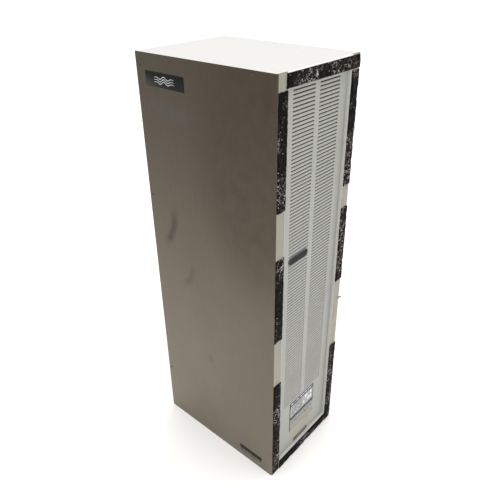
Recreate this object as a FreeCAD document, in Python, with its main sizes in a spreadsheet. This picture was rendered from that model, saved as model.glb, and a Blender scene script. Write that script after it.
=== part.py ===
"""Side-mount enclosure air conditioner, modelled as an assembly of separate pieces.

The origin is the middle of the footprint, +Z is up and millimetres are used throughout.
The mounting flange with its gasket faces -Y and the two wide sides face -X and +X.
"""
import FreeCAD, Part
import Sketcher
import math
import os
import re

DIMENSIONS = {
    # cabinet
    "unit_width": 314, "unit_depth": 450, "unit_height": 1200, "sheet_thick": 1.5, "bend_radius": 2.5,
    "flange_width": 32.8, "nested_flange": 24, "flange_setback": 38,
    # gasket strips on the flange
    "gasket_thick": 4, "gasket_width": 32, "gasket_inset": 1.5, "gasket_gap": 1, "gasket_edge": 2,
    "top_strip_start": 27, "bottom_strip_start": 33,
    "left_upper_low": 891, "left_upper_high": 1165, "left_middle_low": 517, "left_middle_high": 770,
    "left_lower_low": 36, "left_lower_high": 367, "right_upper_low": 866, "right_upper_high": 1165,
    "right_middle_low": 567, "right_middle_high": 806, "right_lower_low": 36, "right_lower_high": 330,
    "scrap_height": 501, "scrap_reach": 12, "scrap_thick": 1.6, "scrap_seat": 9,
    "scrap_wide": 3.5, "scrap_drop": 8,
    # mounting holes in the flange
    "mount_hole": 3.5, "mount_inset": 16, "mount_low": 100, "mount_middle": 650, "mount_high": 1100,
    # louver panel
    "panel_recess": 10, "panel_thick": 1.2, "panel_return": 18,
    "louver_pitch": 9.1, "louver_open": 4.6, "louver_width": 82.5, "louver_gap": 18, "louver_bottom": 224,
    "louver_rows": 103, "louver_depth": 4.2,
    # plates and labels
    "plate_width": 136, "plate_height": 36, "plate_thick": 0.9, "plate_centre": 345, "plate_level": 1140,
    "badge_width": 82, "badge_height": 24, "badge_thick": 1.6, "badge_level": 731,
    "rating_width": 123, "rating_height": 118, "rating_bottom": 100, "label_thick": 0.4, "label_corner": 6,
    "service_width": 70, "service_height": 21, "service_bottom": 30,
    "side_label_width": 88, "side_label_height": 30, "side_label_start": 40, "side_label_bottom": 17,
    # screws in the cabinet
    "screw_head": 4.6, "screw_head_high": 2.2, "screw_shank": 2, "screw_length": 7,
    "rivet_head": 3, "rivet_head_high": 1, "screw_low": 181, "screw_middle": 818, "screw_high": 1168,
    "screw_back_inset": 11, "top_screw_start": 68, "top_screw_drop": 8,
    # cold chamber
    "cold_depth": 160, "bulkhead_thick": 1.5, "liner_thick": 6, "liner_bottom": 60, "liner_drop": 12,
    "coil_tube": 5, "end_plate_thick": 1.2, "coil_margin": 31,
    "evaporator_bottom": 264, "evaporator_pitch": 24.6, "evaporator_rows": 15, "evaporator_depth": 44,
    "evaporator_setback": 20,
    "pan_height": 11, "pan_thick": 1.2, "pan_setback": 8, "pan_depth": 92,
    "drain_radius": 8, "drain_wall": 1.5, "drain_side": 100,
    "deck_level": 642, "deck_thick": 1.5, "deck_clearance": 0.3, "outlet_depth": 62,
    "blower_level": 800, "wheel_radius": 52, "wheel_width": 130, "wheel_blades": 32, "blade_thick": 1,
    "blade_depth": 10, "scroll_gap": 6, "scroll_growth": 14, "scroll_wall": 1.2, "inlet_radius": 40,
    "blower_motor_radius": 36, "blower_motor_length": 62, "shaft_radius": 4, "running_gap": 0.05,
    # hot chamber
    "condenser_bottom": 350, "condenser_pitch": 25.7, "condenser_rows": 14, "condenser_depth": 44,
    "condenser_setback": 40, "baffle_thick": 1.2, "baffle_edge": 22,
    "fan_level": 880, "fan_radius": 104, "fan_blades": 5, "fan_hub": 34, "hub_share": 0.8, "fan_depth": 26,
    "tip_gap": 6, "root_chord": 1.2, "tip_chord": 2.2, "blade_root": 2,
    "shroud_depth": 34, "shroud_thick": 1.2, "shroud_edge": 26, "fan_motor_radius": 42,
    "fan_motor_length": 68, "bracket_width": 22, "bar_share": 0.7, "bracket_thick": 2.5,
    "guard_wire": 1.6, "guard_rings": 6,
    "intake_pitch": 15, "intake_open": 7, "intake_width": 112, "intake_gap": 14, "intake_rows": 24,
    "grommet_radius": 14, "grommet_hole": 8, "grommet_lip": 1.5, "grommet_level": 1090, "grommet_side": 90,
    "compressor_radius": 70, "compressor_height": 230, "compressor_lift": 17, "compressor_dome": 26,
    "compressor_side": 22,
    "compressor_back": 85, "foot_radius": 92, "foot_thick": 3, "foot_wide": 34, "stud_radius": 4,
    "foot_grommet": 11, "nut_high": 7, "port_length": 16,
    "accumulator_radius": 26, "accumulator_height": 150, "accumulator_side": 100, "accumulator_dome": 14,
    "accumulator_bottom": 70,
    "line_radius": 4.8, "line_bend": 14, "liquid_radius": 3.2, "capillary_radius": 1.5, "capillary_bend": 9,
    "line_margin": 14, "drier_radius": 10, "drier_bottom": 150, "drier_top": 258, "drier_cone": 16,
    "discharge_rise": 320, "suction_rise": 300, "capillary_level": 120, "capillary_front": 40,
    "pipe_hole_margin": 4,
    # air filter
    "filter_thick": 17, "filter_bottom": 348, "filter_height": 364, "filter_gap": 0.5, "filter_edge": 12,
    "rail_wall": 1.2, "rail_depth": 10, "filter_end_gap": 4, "mesh_inset": 0.2,
    "pull_start": 0.42, "pull_end": 0.58, "pull_wide": 0.6, "pull_inset": 0.25,
    # control box
    "box_bottom": 1020, "box_height": 160, "box_margin": 19, "box_depth": 150, "box_thick": 1.2,
    "contactor_side": 84, "contactor_width": 46, "contactor_depth": 52, "contactor_height": 62,
    "contactor_front": 24, "plunger_width": 10, "plunger_length": 16, "plunger_out": 4, "plunger_gap": 0.4,
    "capacitor_side": 10, "capacitor_radius": 22, "capacitor_height": 92, "strap_width": 14,
    "strap_thick": 1, "strap_reach": 1.5, "terminal_margin": 24, "terminal_width": 84, "terminal_depth": 24,
    "terminal_height": 20, "terminal_ways": 6, "thermostat_side": 66, "thermostat_width": 48,
    "thermostat_depth": 40, "thermostat_level": 1110, "thermostat_height": 44, "knob_radius": 13,
    "knob_length": 14, "spindle_share": 0.7, "bore_share": 0.75, "knob_bore": 3, "knob_pointer": 2,
}

doc = FreeCAD.newDocument("enclosure_air_conditioner")
sheet = doc.addObject("Spreadsheet::Sheet", "Dims")
for row, (alias, number) in enumerate(DIMENSIONS.items(), start=1):
    sheet.set(f"A{row}", alias)
    sheet.set(f"B{row}", str(number))
    sheet.setAlias(f"B{row}", alias)
doc.recompute()

Vector = FreeCAD.Vector
TURNS = {"x": FreeCAD.Rotation(Vector(0, 1, 0), 90), "y": FreeCAD.Rotation(Vector(1, 0, 0), -90),
         "z": FreeCAD.Rotation()}
PLANE_NORMALS = {"XY_Plane": 1, "XZ_Plane": -1, "YZ_Plane": 1}
ROOT_PITCH = math.radians(48)
TIP_PITCH = math.radians(22)
nodes = {}

# Faces and levels that several pieces share, as expressions of the driving dimensions.
SIDE = "unit_width/2"
WALL = "(unit_width/2 - sheet_thick)"
FLANGE = "(gasket_thick - unit_depth/2)"
BACK = "unit_depth/2"
BACK_INSIDE = "(unit_depth/2 - sheet_thick)"
PANEL = "(gasket_thick - unit_depth/2 + panel_recess)"
PANEL_BACK = "(gasket_thick - unit_depth/2 + panel_recess + panel_thick)"
BULKHEAD = "(gasket_thick - unit_depth/2 + panel_recess + cold_depth)"
BULKHEAD_BACK = "(gasket_thick - unit_depth/2 + panel_recess + cold_depth + bulkhead_thick)"
LINER = "(gasket_thick - unit_depth/2 + panel_recess + cold_depth - liner_thick)"
ROOF = "(unit_height - sheet_thick)"
FLOOR = "sheet_thick"
OPENING = "(unit_width/2 - flange_width)"
INSIDE = "(unit_width/2 - 2*sheet_thick)"
FILTER_BACK = "(unit_depth/2 - sheet_thick - rail_wall - filter_gap)"
FILTER_FRONT = "(unit_depth/2 - sheet_thick - rail_wall - filter_gap - filter_thick)"
EVAPORATOR = "(gasket_thick - unit_depth/2 + panel_recess + panel_thick + evaporator_setback)"
CONDENSER = "(unit_depth/2 - sheet_thick - condenser_setback - condenser_depth)"
SHROUD = "(unit_depth/2 - sheet_thick - shroud_depth)"
DECK_TOP = "(deck_level + deck_thick)"
BLOWER_BACK = "(gasket_thick - unit_depth/2 + panel_recess + (panel_thick + cold_depth - liner_thick)/2)"
DRAIN_BACK = "(gasket_thick - unit_depth/2 + panel_recess + panel_thick + pan_setback + pan_depth/2)"
BOX_BACK = "(gasket_thick - unit_depth/2 + panel_recess + cold_depth + bulkhead_thick)"
SUCTION_LEVEL = "(evaporator_bottom + (evaporator_rows - 0.5)*evaporator_pitch)"
COIL = "(unit_width/2 - coil_margin)"
PIPES = "(unit_width/2 - line_margin)"
BOX = "(unit_width/2 - box_margin)"
TERMINALS = "(unit_width/2 - box_margin - terminal_margin - terminal_width)"


def text(expression):
    """Return the expression with each size's name pointed at the spreadsheet."""
    return re.sub(r"[a-z]\w+", lambda match: "Dims." + match.group(0), expression)


def value(expression):
    """Return the number that an expression of the sizes gives."""
    return float(sheet.evalExpression(text(expression)))


def bind(item, **properties):
    """Bind properties of an object to expressions; a double underscore stands for a dot."""
    for name, expression in properties.items():
        item.setExpression(name.replace("__", "."), text(expression))
    return item


def keep(label, item):
    """Name a finished piece, so that it is written out as a node of its own."""
    item.Label = label
    nodes[label] = item
    return item


def place(item, x="0", y="0", z="0"):
    """Bind the position of an object."""
    return bind(item, Placement__Base__x=x, Placement__Base__y=y, Placement__Base__z=z)


def block(name, x0, x1, y0, y1, z0, z1):
    """Make a box between two corners."""
    item = doc.addObject("Part::Box", name)
    bind(item, Length=f"({x1})-({x0})", Width=f"({y1})-({y0})", Height=f"({z1})-({z0})")
    return place(item, x0, y0, z0)


def rod(name, axis, radius, length, x, y, z):
    """Make a cylinder that starts at a point and runs along an axis."""
    item = doc.addObject("Part::Cylinder", name)
    item.Placement.Rotation = TURNS[axis]
    bind(item, Radius=radius, Height=length)
    return place(item, x, y, z)


def cone(name, axis, radius, end_radius, length, x, y, z):
    """Make a cone that starts at a point and runs along an axis."""
    item = doc.addObject("Part::Cone", name)
    item.Placement.Rotation = TURNS[axis]
    bind(item, Radius1=radius, Radius2=end_radius, Height=length)
    return place(item, x, y, z)


def fuse(name, pieces):
    """Join overlapping or touching shapes into one solid."""
    item = doc.addObject("Part::MultiFuse", name)
    item.Shapes = pieces
    return item


def group(name, pieces):
    """Hold several separate solids in one object."""
    item = doc.addObject("Part::Compound", name)
    item.Links = pieces
    return item


def cut(name, base, tools):
    """Take one or more shapes out of a base."""
    item = doc.addObject("Part::Cut", name)
    item.Base = base
    item.Tool = tools[0] if len(tools) == 1 else group(name + "_tools", tools)
    return item


def new_body(label):
    """Start a body whose label names its node."""
    return keep(label, doc.addObject("PartDesign::Body", label))


def sketch_on(body, role, name, offset="0"):
    """Start a sketch on one of a body's own planes, offset along the world axis across that plane."""
    sketch = body.newObject("Sketcher::SketchObject", f"{body.Name}_{name}")
    plane = next(feature for feature in body.Origin.OriginFeatures if feature.Role == role)
    sketch.AttachmentSupport = [(plane, "")]
    sketch.MapMode = "FlatFace"
    bind(sketch, AttachmentOffset__Base__z=f"({offset})*({PLANE_NORMALS[role]})")
    return sketch


def add_outline(sketch, corners):
    """Draw a closed outline whose corners are bound to expressions."""
    points = [Vector(value(u), value(v), 0) for u, v in corners]
    first = sketch.GeometryCount
    count = len(points)
    for index in range(count):
        sketch.addGeometry(Part.LineSegment(points[index], points[(index + 1) % count]), False)
    for index in range(count):
        following = first + (index + 1) % count
        sketch.addConstraint(Sketcher.Constraint("Coincident", first + index, 2, following, 1))
    for index, (u, v) in enumerate(corners):
        for kind, expression in (("DistanceX", u), ("DistanceY", v)):
            rule = Sketcher.Constraint(kind, -1, 1, first + index, 1, value(expression))
            sketch.setExpression(f"Constraints[{sketch.addConstraint(rule)}]", text(expression))


def add_circle(sketch, u, v, radius):
    """Draw a circle whose centre and radius are bound to expressions."""
    centre = Vector(value(u), value(v), 0)
    item = sketch.addGeometry(Part.Circle(centre, Vector(0, 0, 1), value(radius)), False)
    rules = [Sketcher.Constraint("DistanceX", -1, 1, item, 3, value(u)),
             Sketcher.Constraint("DistanceY", -1, 1, item, 3, value(v)),
             Sketcher.Constraint("Radius", item, value(radius))]
    for rule, expression in zip(rules, (u, v, radius)):
        sketch.setExpression(f"Constraints[{sketch.addConstraint(rule)}]", text(expression))


def rectangle(u0, u1, v0, v1):
    """Return the corners of a rectangle."""
    return [(u0, v0), (u1, v0), (u1, v1), (u0, v1)]


def pad(body, sketch, length):
    """Raise a sketch along the world axis across its plane."""
    item = body.newObject("PartDesign::Pad", sketch.Name + "_pad")
    item.Profile = sketch
    item.Reversed = "XZ_Plane" in sketch.AttachmentSupport[0][0].Role
    bind(item, Length=length)
    sketch.Visibility = False
    return item


def pierce(body, sketch):
    """Cut a sketch right through a body, both ways."""
    item = body.newObject("PartDesign::Pocket", sketch.Name + "_cut")
    item.Profile = sketch
    item.Type = "ThroughAll"
    item.Midplane = True
    return item


def round_bends(body, feature, sketch, bends):
    """Round the edges that rise from the given corners of a padded sketch, each by its own radius."""
    doc.recompute()
    for number, (u, v, radius) in enumerate(bends):
        edges = []
        for index, edge in enumerate(feature.Shape.Edges, start=1):
            if edge.Curve.TypeId != "Part::GeomLine":
                continue
            ends = [sketch.Placement.inverse().multVec(vertex.Point) for vertex in edge.Vertexes]
            if all(abs(end.x - value(u)) + abs(end.y - value(v)) < 0.01 for end in ends):
                edges.append(f"Edge{index}")
        fillet = body.newObject("PartDesign::Fillet", f"{body.Name}_bend{number}")
        fillet.Base = (feature, edges)
        bind(fillet, Radius=radius)
        doc.recompute()
        feature = fillet
    return feature


def repeat(body, features, axis_role, pitch, count):
    """Repeat features along one of the body's own axes."""
    item = body.newObject("PartDesign::LinearPattern", body.Name + "_row")
    item.Originals = features
    axis = next(feature for feature in body.Origin.OriginFeatures if feature.Role == axis_role)
    item.Direction = (axis, [""])
    item.Mode = "Spacing"
    bind(item, Offset=pitch, Occurrences=count)
    body.Tip = item
    return item


def tube(name, points, radius, bend):
    """Make a rigid tube along straight runs joined by tangent arcs."""
    path = [Vector(*(value(part) for part in point)) for point in points]
    bend_radius = value(bend)
    edges = []
    start = path[0]
    for before, corner, after in zip(path, path[1:], path[2:]):
        inward = (before - corner).normalize()
        outward = (after - corner).normalize()
        half_turn = (math.pi - inward.getAngle(outward)) / 2
        reach = bend_radius * math.tan(half_turn)
        middle = (inward + outward).normalize()
        arc_start = corner + inward * reach
        arc_end = corner + outward * reach
        arc_middle = corner + middle * (bend_radius / math.cos(half_turn) - bend_radius)
        edges.append(Part.LineSegment(start, arc_start).toShape())
        edges.append(Part.Arc(arc_start, arc_middle, arc_end).toShape())
        start = arc_end
    edges.append(Part.LineSegment(start, path[-1]).toShape())
    wire = Part.Wire(edges)
    section = Part.Wire(Part.Circle(path[0], path[1] - path[0], value(radius)).toShape())
    item = doc.addObject("Part::Feature", name)
    item.Shape = wire.makePipeShell([section], True, True)
    return item


# ---------------------------------------------------------------- cabinet

def side_panel(label, hand):
    """Make one wide side: a wall with its front edge bent in to form the mounting flange."""
    body = new_body(label)
    sketch = sketch_on(body, "XY_Plane", "plan")
    outer, inner = f"{hand}*{SIDE}", f"{hand}*{WALL}"
    corners = [(outer, BACK), (outer, FLANGE), (f"{hand}*{OPENING}", FLANGE),
               (f"{hand}*{OPENING}", f"{FLANGE} + sheet_thick"), (inner, f"{FLANGE} + sheet_thick"),
               (inner, BACK)]
    add_outline(sketch, corners)
    wall = pad(body, sketch, "unit_height")
    bends = [(*corners[1], "bend_radius + sheet_thick"), (*corners[4], "bend_radius")]
    round_bends(body, wall, sketch, bends)
    holes = sketch_on(body, "YZ_Plane", "screw_holes")
    for level in ("screw_low", "screw_middle", "screw_high"):
        add_circle(holes, f"{BACK} - screw_back_inset", level, "screw_shank")
    add_circle(holes, f"{FLANGE} + top_screw_start", "unit_height - top_screw_drop", "screw_shank")
    pierce(body, holes)
    mounts = sketch_on(body, "XZ_Plane", "mount_holes")
    for level in ("mount_low", "mount_middle", "mount_high"):
        add_circle(mounts, f"{hand}*({SIDE} - mount_inset)", level, "mount_hole")
    pierce(body, mounts)
    return body


def filter_slot(body):
    """Cut the slot that the air filter slides through, in a wall of the right side."""
    slot = sketch_on(body, "YZ_Plane", "filter_slot", SIDE)
    add_outline(slot, rectangle(f"{FILTER_FRONT} - filter_gap", f"{FILTER_BACK} + filter_gap",
                                "filter_bottom - filter_gap",
                                "filter_bottom + filter_height + filter_gap"))
    opening = body.newObject("PartDesign::Pocket", body.Name + "_filter_cut")
    opening.Profile = slot
    opening.Midplane = True
    bind(opening, Length="2*(nested_flange)")


def nested_sheet(label, level, hand):
    """Make the top panel or the base pan: a sheet between the sides with its flanges turned inwards."""
    body = new_body(label)
    front = sketch_on(body, "YZ_Plane", "profile", f"-{OPENING}")
    inside = f"{level} + {hand}*sheet_thick"
    corners = [(BACK, level), (FLANGE, level), (FLANGE, f"{level} + {hand}*flange_width"),
               (f"{FLANGE} + sheet_thick", f"{level} + {hand}*flange_width"),
               (f"{FLANGE} + sheet_thick", inside), (BACK, inside)]
    add_outline(front, corners)
    middle = pad(body, front, f"2*{OPENING}")
    bends = [(*corners[1], "bend_radius + sheet_thick"), (*corners[4], "bend_radius")]
    round_bends(body, middle, front, bends)
    sides = sketch_on(body, "XZ_Plane", "sides", f"{FLANGE} + sheet_thick + bend_radius")
    add_outline(sides, rectangle(f"-{WALL}", WALL, level, inside))
    pad(body, sides, f"{BACK} - {FLANGE} - sheet_thick - bend_radius")
    turned = sketch_on(body, "XZ_Plane", "turned", f"{FLANGE} + flange_setback")
    for side in ("-1", "1"):
        add_outline(turned, rectangle(f"{side}*{WALL}", f"{side}*({WALL} - sheet_thick)", level,
                                      f"{level} + {hand}*nested_flange"))
    pad(body, turned, f"{BACK_INSIDE} - nested_flange - {FLANGE} - flange_setback")
    return body


def side_screw(name, hand, back, level, head, head_high):
    """Make a headed screw through one side wall."""
    outward = f"{hand}*({SIDE})"
    start = outward if hand == "1" else f"{outward} - {head_high}"
    cap = rod(f"{name}_head", "x", head, head_high, start, back, level)
    inside = f"{SIDE} - screw_length" if hand == "1" else outward
    shank = rod(f"{name}_shank", "x", "screw_shank", "screw_length", inside, back, level)
    return fuse(name, [cap, shank])


side_panel("left_side_panel", "-1")
right_side = side_panel("right_side_panel", "1")
filter_slot(right_side)
top_panel = nested_sheet("top_panel", "unit_height", "-1")
base_pan = nested_sheet("base_pan", "0", "1")
drain_hole = sketch_on(base_pan, "XY_Plane", "drain_hole")
add_circle(drain_hole, "-drain_side", DRAIN_BACK, "drain_radius")
pierce(base_pan, drain_hole)
stud_spots = [("compressor_side + foot_radius", "compressor_back"),
              ("compressor_side - foot_radius*0.5", "compressor_back + foot_radius*0.866"),
              ("compressor_side - foot_radius*0.5", "compressor_back - foot_radius*0.866")]
stud_holes = sketch_on(base_pan, "XY_Plane", "stud_holes")
for stud_x, stud_y in stud_spots:
    add_circle(stud_holes, stud_x, stud_y, "stud_radius")
pierce(base_pan, stud_holes)
top_holes = sketch_on(top_panel, "YZ_Plane", "screw_holes")
add_circle(top_holes, f"{FLANGE} + top_screw_start", "unit_height - top_screw_drop", "screw_shank")
pierce(top_panel, top_holes)

# Back cover: nested between the sides, with its side flanges turned forward.
back_cover = new_body("back_cover")
back_plan = sketch_on(back_cover, "XY_Plane", "plan", FLOOR)
back_corners = [(f"-{WALL}", BACK), (WALL, BACK), (WALL, f"{BACK} - nested_flange"),
                (f"{WALL} - sheet_thick", f"{BACK} - nested_flange"), (f"{WALL} - sheet_thick", BACK_INSIDE),
                (f"sheet_thick - {WALL}", BACK_INSIDE), (f"sheet_thick - {WALL}", f"{BACK} - nested_flange"),
                (f"-{WALL}", f"{BACK} - nested_flange")]
add_outline(back_plan, back_corners)
pad(back_cover, back_plan, f"{ROOF} - {FLOOR}")
filter_slot(back_cover)
back_holes = sketch_on(back_cover, "YZ_Plane", "screw_holes")
for screw_level in ("screw_low", "screw_middle", "screw_high"):
    add_circle(back_holes, f"{BACK} - screw_back_inset", screw_level, "screw_shank")
pierce(back_cover, back_holes)
fan_opening = sketch_on(back_cover, "XZ_Plane", "openings")
add_circle(fan_opening, "0", "fan_level", "fan_radius + tip_gap")
add_circle(fan_opening, "grommet_side", "grommet_level", "grommet_hole + grommet_lip")
pierce(back_cover, fan_opening)
intake = sketch_on(back_cover, "XZ_Plane", "intake")
for side in ("-1", "1"):
    add_outline(intake, rectangle(f"{side}*intake_gap/2", f"{side}*(intake_gap/2 + intake_width)",
                                  "condenser_bottom", "condenser_bottom + intake_open"))
intake_cut = pierce(back_cover, intake)
repeat(back_cover, [intake_cut], "Z_Axis", "intake_pitch", "intake_rows")

cabinet_screws = []
for hand in ("-1", "1"):
    rear = f"{BACK} - screw_back_inset"
    front = f"{FLANGE} + top_screw_start"
    side_name = f"screw_{len(cabinet_screws)}"
    cabinet_screws += [
        side_screw(f"{side_name}_high", hand, rear, "screw_high", "screw_head", "screw_head_high"),
        side_screw(f"{side_name}_middle", hand, rear, "screw_middle", "rivet_head", "rivet_head_high"),
        side_screw(f"{side_name}_low", hand, rear, "screw_low", "rivet_head", "rivet_head_high"),
        side_screw(f"{side_name}_top", hand, front, "unit_height - top_screw_drop", "rivet_head",
                   "rivet_head_high")]
keep("cabinet_screws", group("cabinet_screws", cabinet_screws))

# ---------------------------------------------------------------- louver panel

louver_panel = new_body("louver_panel")
panel_plan = sketch_on(louver_panel, "XY_Plane", "plan", FLOOR)
panel_corners = [(f"-{WALL}", PANEL), (WALL, PANEL), (WALL, f"{PANEL} + panel_return"),
                 (f"{WALL} - panel_thick", f"{PANEL} + panel_return"), (f"{WALL} - panel_thick", PANEL_BACK),
                 (f"panel_thick - {WALL}", PANEL_BACK), (f"panel_thick - {WALL}", f"{PANEL} + panel_return"),
                 (f"-{WALL}", f"{PANEL} + panel_return")]
add_outline(panel_plan, panel_corners)
pad(louver_panel, panel_plan, f"{ROOF} - {FLOOR}")
louver_spans = [("-louver_gap/2 - louver_width", "-louver_gap/2"),
                ("louver_gap/2", "louver_gap/2 + louver_width")]
louver_slots = sketch_on(louver_panel, "XZ_Plane", "slots")
for left, right in louver_spans:
    add_outline(louver_slots, rectangle(left, right, "louver_bottom", "louver_bottom + louver_open"))
louver_cut = pierce(louver_panel, louver_slots)
louver_pads = []
for number, (left, right) in enumerate(louver_spans):
    blade = sketch_on(louver_panel, "YZ_Plane", f"blade{number}", left)
    add_outline(blade, [(PANEL, "louver_bottom - 0.5"), (PANEL_BACK, "louver_bottom - 0.5"),
                        (f"{PANEL_BACK} + louver_depth", "louver_bottom + louver_open - 0.5"),
                        (f"{PANEL} + louver_depth", "louver_bottom + louver_open - 0.5")])
    louver_pads.append(pad(louver_panel, blade, "louver_width"))
repeat(louver_panel, [louver_cut] + louver_pads, "Z_Axis", "louver_pitch", "louver_rows")

# ---------------------------------------------------------------- gasket

def gasket_strip(name, x0, x1, z0, z1, holes=()):
    """Make one strip of foam tape on the flange, pierced where mounting bolts pass."""
    front = "-unit_depth/2"
    strip = block(f"{name}_foam", x0, x1, front, FLANGE, z0, z1)
    if not holes:
        return strip
    bores = [rod(f"{name}_bore{number}", "y", "mount_hole", "gasket_thick", x, front, z)
             for number, (x, z) in enumerate(holes)]
    return cut(name, strip, bores)


for side_name, hand in (("left", "-1"), ("right", "1")):
    near, far = f"{hand}*({SIDE} - gasket_inset)", f"{hand}*({SIDE} - gasket_inset - gasket_width)"
    x0, x1 = (near, far) if hand == "-1" else (far, near)
    strips = [gasket_strip(f"{side_name}_{part}_strip", x0, x1, f"{side_name}_{part}_low",
                           f"{side_name}_{part}_high", [(f"{hand}*({SIDE} - mount_inset)", mount)])
              for part, mount in (("upper", "mount_high"), ("middle", "mount_middle"),
                                  ("lower", "mount_low"))]
    keep(f"{side_name}_gasket", group(f"{side_name}_gasket", strips))
keep("top_gasket", gasket_strip("top_strip", f"top_strip_start - {SIDE}", SIDE,
                                "left_upper_high + gasket_gap", "unit_height - gasket_edge"))
keep("bottom_gasket", gasket_strip("bottom_strip", f"bottom_strip_start - {SIDE}", SIDE,
                                   "gasket_edge", "left_lower_low - gasket_gap"))
scrap = new_body("gasket_scrap")
scrap_face = sketch_on(scrap, "XZ_Plane", "face", f"{FLANGE} - scrap_thick")
add_outline(scrap_face, [(f"{SIDE} - scrap_seat", "scrap_height"),
                         (f"{SIDE} + scrap_reach*0.2", "scrap_height - scrap_wide*0.3"),
                         (f"{SIDE} + scrap_reach", "scrap_height - scrap_drop"),
                         (f"{SIDE} + scrap_reach*0.8", "scrap_height - scrap_drop - scrap_wide*0.7"),
                         (f"{SIDE}", "scrap_height - scrap_wide*1.4"),
                         (f"{SIDE} - scrap_seat", "scrap_height - scrap_wide")])
pad(scrap, scrap_face, "scrap_thick")

# ---------------------------------------------------------------- plates and labels

keep("nameplate", block("nameplate", f"-{SIDE} - plate_thick", f"-{SIDE}",
                        f"{FLANGE} + plate_centre - plate_width/2",
                        f"{FLANGE} + plate_centre + plate_width/2",
                        "plate_level - plate_height/2", "plate_level + plate_height/2"))
keep("side_label", block("side_label", f"-{SIDE} - label_thick", f"-{SIDE}", f"{FLANGE} + side_label_start",
                         f"{FLANGE} + side_label_start + side_label_width", "side_label_bottom",
                         "side_label_bottom + side_label_height"))
badge_x = "(louver_gap/2 + louver_width/2)"
badge_half = "(badge_width/2 - badge_height/2)"
badge_face = f"{PANEL} - badge_thick"
keep("badge", fuse("badge", [
    block("badge_middle", f"-{badge_x} - {badge_half}", f"{badge_half} - {badge_x}", badge_face, PANEL,
          "badge_level - badge_height/2", "badge_level + badge_height/2"),
    rod("badge_left", "y", "badge_height/2", "badge_thick", f"-{badge_x} - {badge_half}", badge_face,
        "badge_level"),
    rod("badge_right", "y", "badge_height/2", "badge_thick", f"{badge_half} - {badge_x}", badge_face,
        "badge_level")]))
rating_label = new_body("rating_label")
rating_face = sketch_on(rating_label, "XZ_Plane", "face", f"{PANEL} - label_thick")
rating_corners = rectangle("-rating_width/2", "rating_width/2", "rating_bottom",
                           "rating_bottom + rating_height")
add_outline(rating_face, rating_corners)
rating_pad = pad(rating_label, rating_face, "label_thick")
round_bends(rating_label, rating_pad, rating_face,
            [(*corner, "label_corner") for corner in rating_corners[2:]])
keep("service_label", block("service_label", "-service_width/2", "service_width/2", f"{PANEL} - label_thick",
                            PANEL, "service_bottom", "service_bottom + service_height"))

# ---------------------------------------------------------------- bulkhead

pipe_spots = [("suction", f"-{PIPES}", SUCTION_LEVEL, "line_radius"),
              ("capillary", PIPES, "capillary_level", "capillary_radius")]
bulkhead_holes = []
liner_holes = []
grommets = []
for name, x, z, radius in pipe_spots:
    hole = f"{radius} + pipe_hole_margin"
    bulkhead_holes.append(rod(f"{name}_hole", "y", hole, "bulkhead_thick", x, BULKHEAD, z))
    liner_holes.append(rod(f"{name}_liner_hole", "y", hole, "liner_thick", x, LINER, z))
    ring = rod(f"{name}_ring", "y", hole, "bulkhead_thick + liner_thick", x, LINER, z)
    bore = rod(f"{name}_bore", "y", radius, "bulkhead_thick + liner_thick", x, LINER, z)
    grommets.append(cut(f"{name}_grommet", ring, [bore]))
power_ring = fuse("power_ring", [
    rod("power_collar", "y", "grommet_hole + grommet_lip", "sheet_thick", "grommet_side", BACK_INSIDE,
        "grommet_level"),
    rod("power_lip", "y", "grommet_radius", "grommet_lip", "grommet_side", BACK, "grommet_level")])
power_bore = rod("power_bore", "y", "grommet_hole", "sheet_thick + grommet_lip", "grommet_side", BACK_INSIDE,
                 "grommet_level")
grommets.append(cut("power_grommet", power_ring, [power_bore]))
keep("grommets", group("grommets", grommets))
keep("bulkhead", cut("bulkhead", block("bulkhead_plate", f"-{INSIDE}", INSIDE, BULKHEAD, BULKHEAD_BACK, FLOOR,
                                       ROOF), bulkhead_holes))
keep("bulkhead_liner", cut("bulkhead_liner", block("liner_slab", f"-{INSIDE}", INSIDE, LINER, BULKHEAD,
                                                   "liner_bottom", "unit_height - liner_drop"), liner_holes))

# ---------------------------------------------------------------- coils

def coil(label, front, depth, bottom, pitch, rows):
    """Make a finned coil: its fin pack, its serpentine tube and its two end plates."""
    middle = f"{front} + {depth}/2"
    count = int(value(rows))
    top = f"{bottom} + {rows}*{pitch}"
    outer = f"({COIL} + end_plate_thick)"
    levels = [f"{bottom} + {row + 0.5}*{pitch}" for row in range(count)]
    runs = [rod(f"{label}_run{row}", "x", "coil_tube", f"2*{outer}", f"-{outer}", middle, level)
            for row, level in enumerate(levels)]
    turns = []
    for row in range(count - 1):
        outward = -1 if row % 2 == 0 else 1
        turn = doc.addObject("Part::Torus", f"{label}_turn{row}")
        turn.Placement.Rotation = FreeCAD.Rotation(Vector(0, 0, -1), Vector(outward, 0, 0),
                                                   Vector(0, -outward, 0), "XYZ")
        turn.Angle3 = 180
        bind(turn, Radius1=f"{pitch}/2", Radius2="coil_tube")
        turns.append(place(turn, f"{outward}*{outer}", middle, f"{bottom} + {row + 1}*{pitch}"))
    keep(f"{label}_tube", fuse(f"{label}_tube", runs + turns))
    pack = block(f"{label}_fin_block", f"-{COIL}", COIL, front, f"{front} + {depth}", bottom, top)
    bores = [rod(f"{label}_fin_bore{row}", "x", "coil_tube", f"2*{COIL}", f"-{COIL}", middle, level)
             for row, level in enumerate(levels)]
    keep(f"{label}_fins", cut(f"{label}_fins", pack, bores))
    plates = []
    for hand, start in (("left", f"-{outer}"), ("right", COIL)):
        plate = block(f"{label}_{hand}_sheet", start, f"{start} + end_plate_thick", front,
                      f"{front} + {depth}", bottom, top)
        holes = [rod(f"{label}_{hand}_bore{row}", "x", "coil_tube", "end_plate_thick", start, middle, level)
                 for row, level in enumerate(levels)]
        plates.append(cut(f"{label}_{hand}_plate", plate, holes))
    keep(f"{label}_end_plates", group(f"{label}_end_plates", plates))
    return middle


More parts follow.
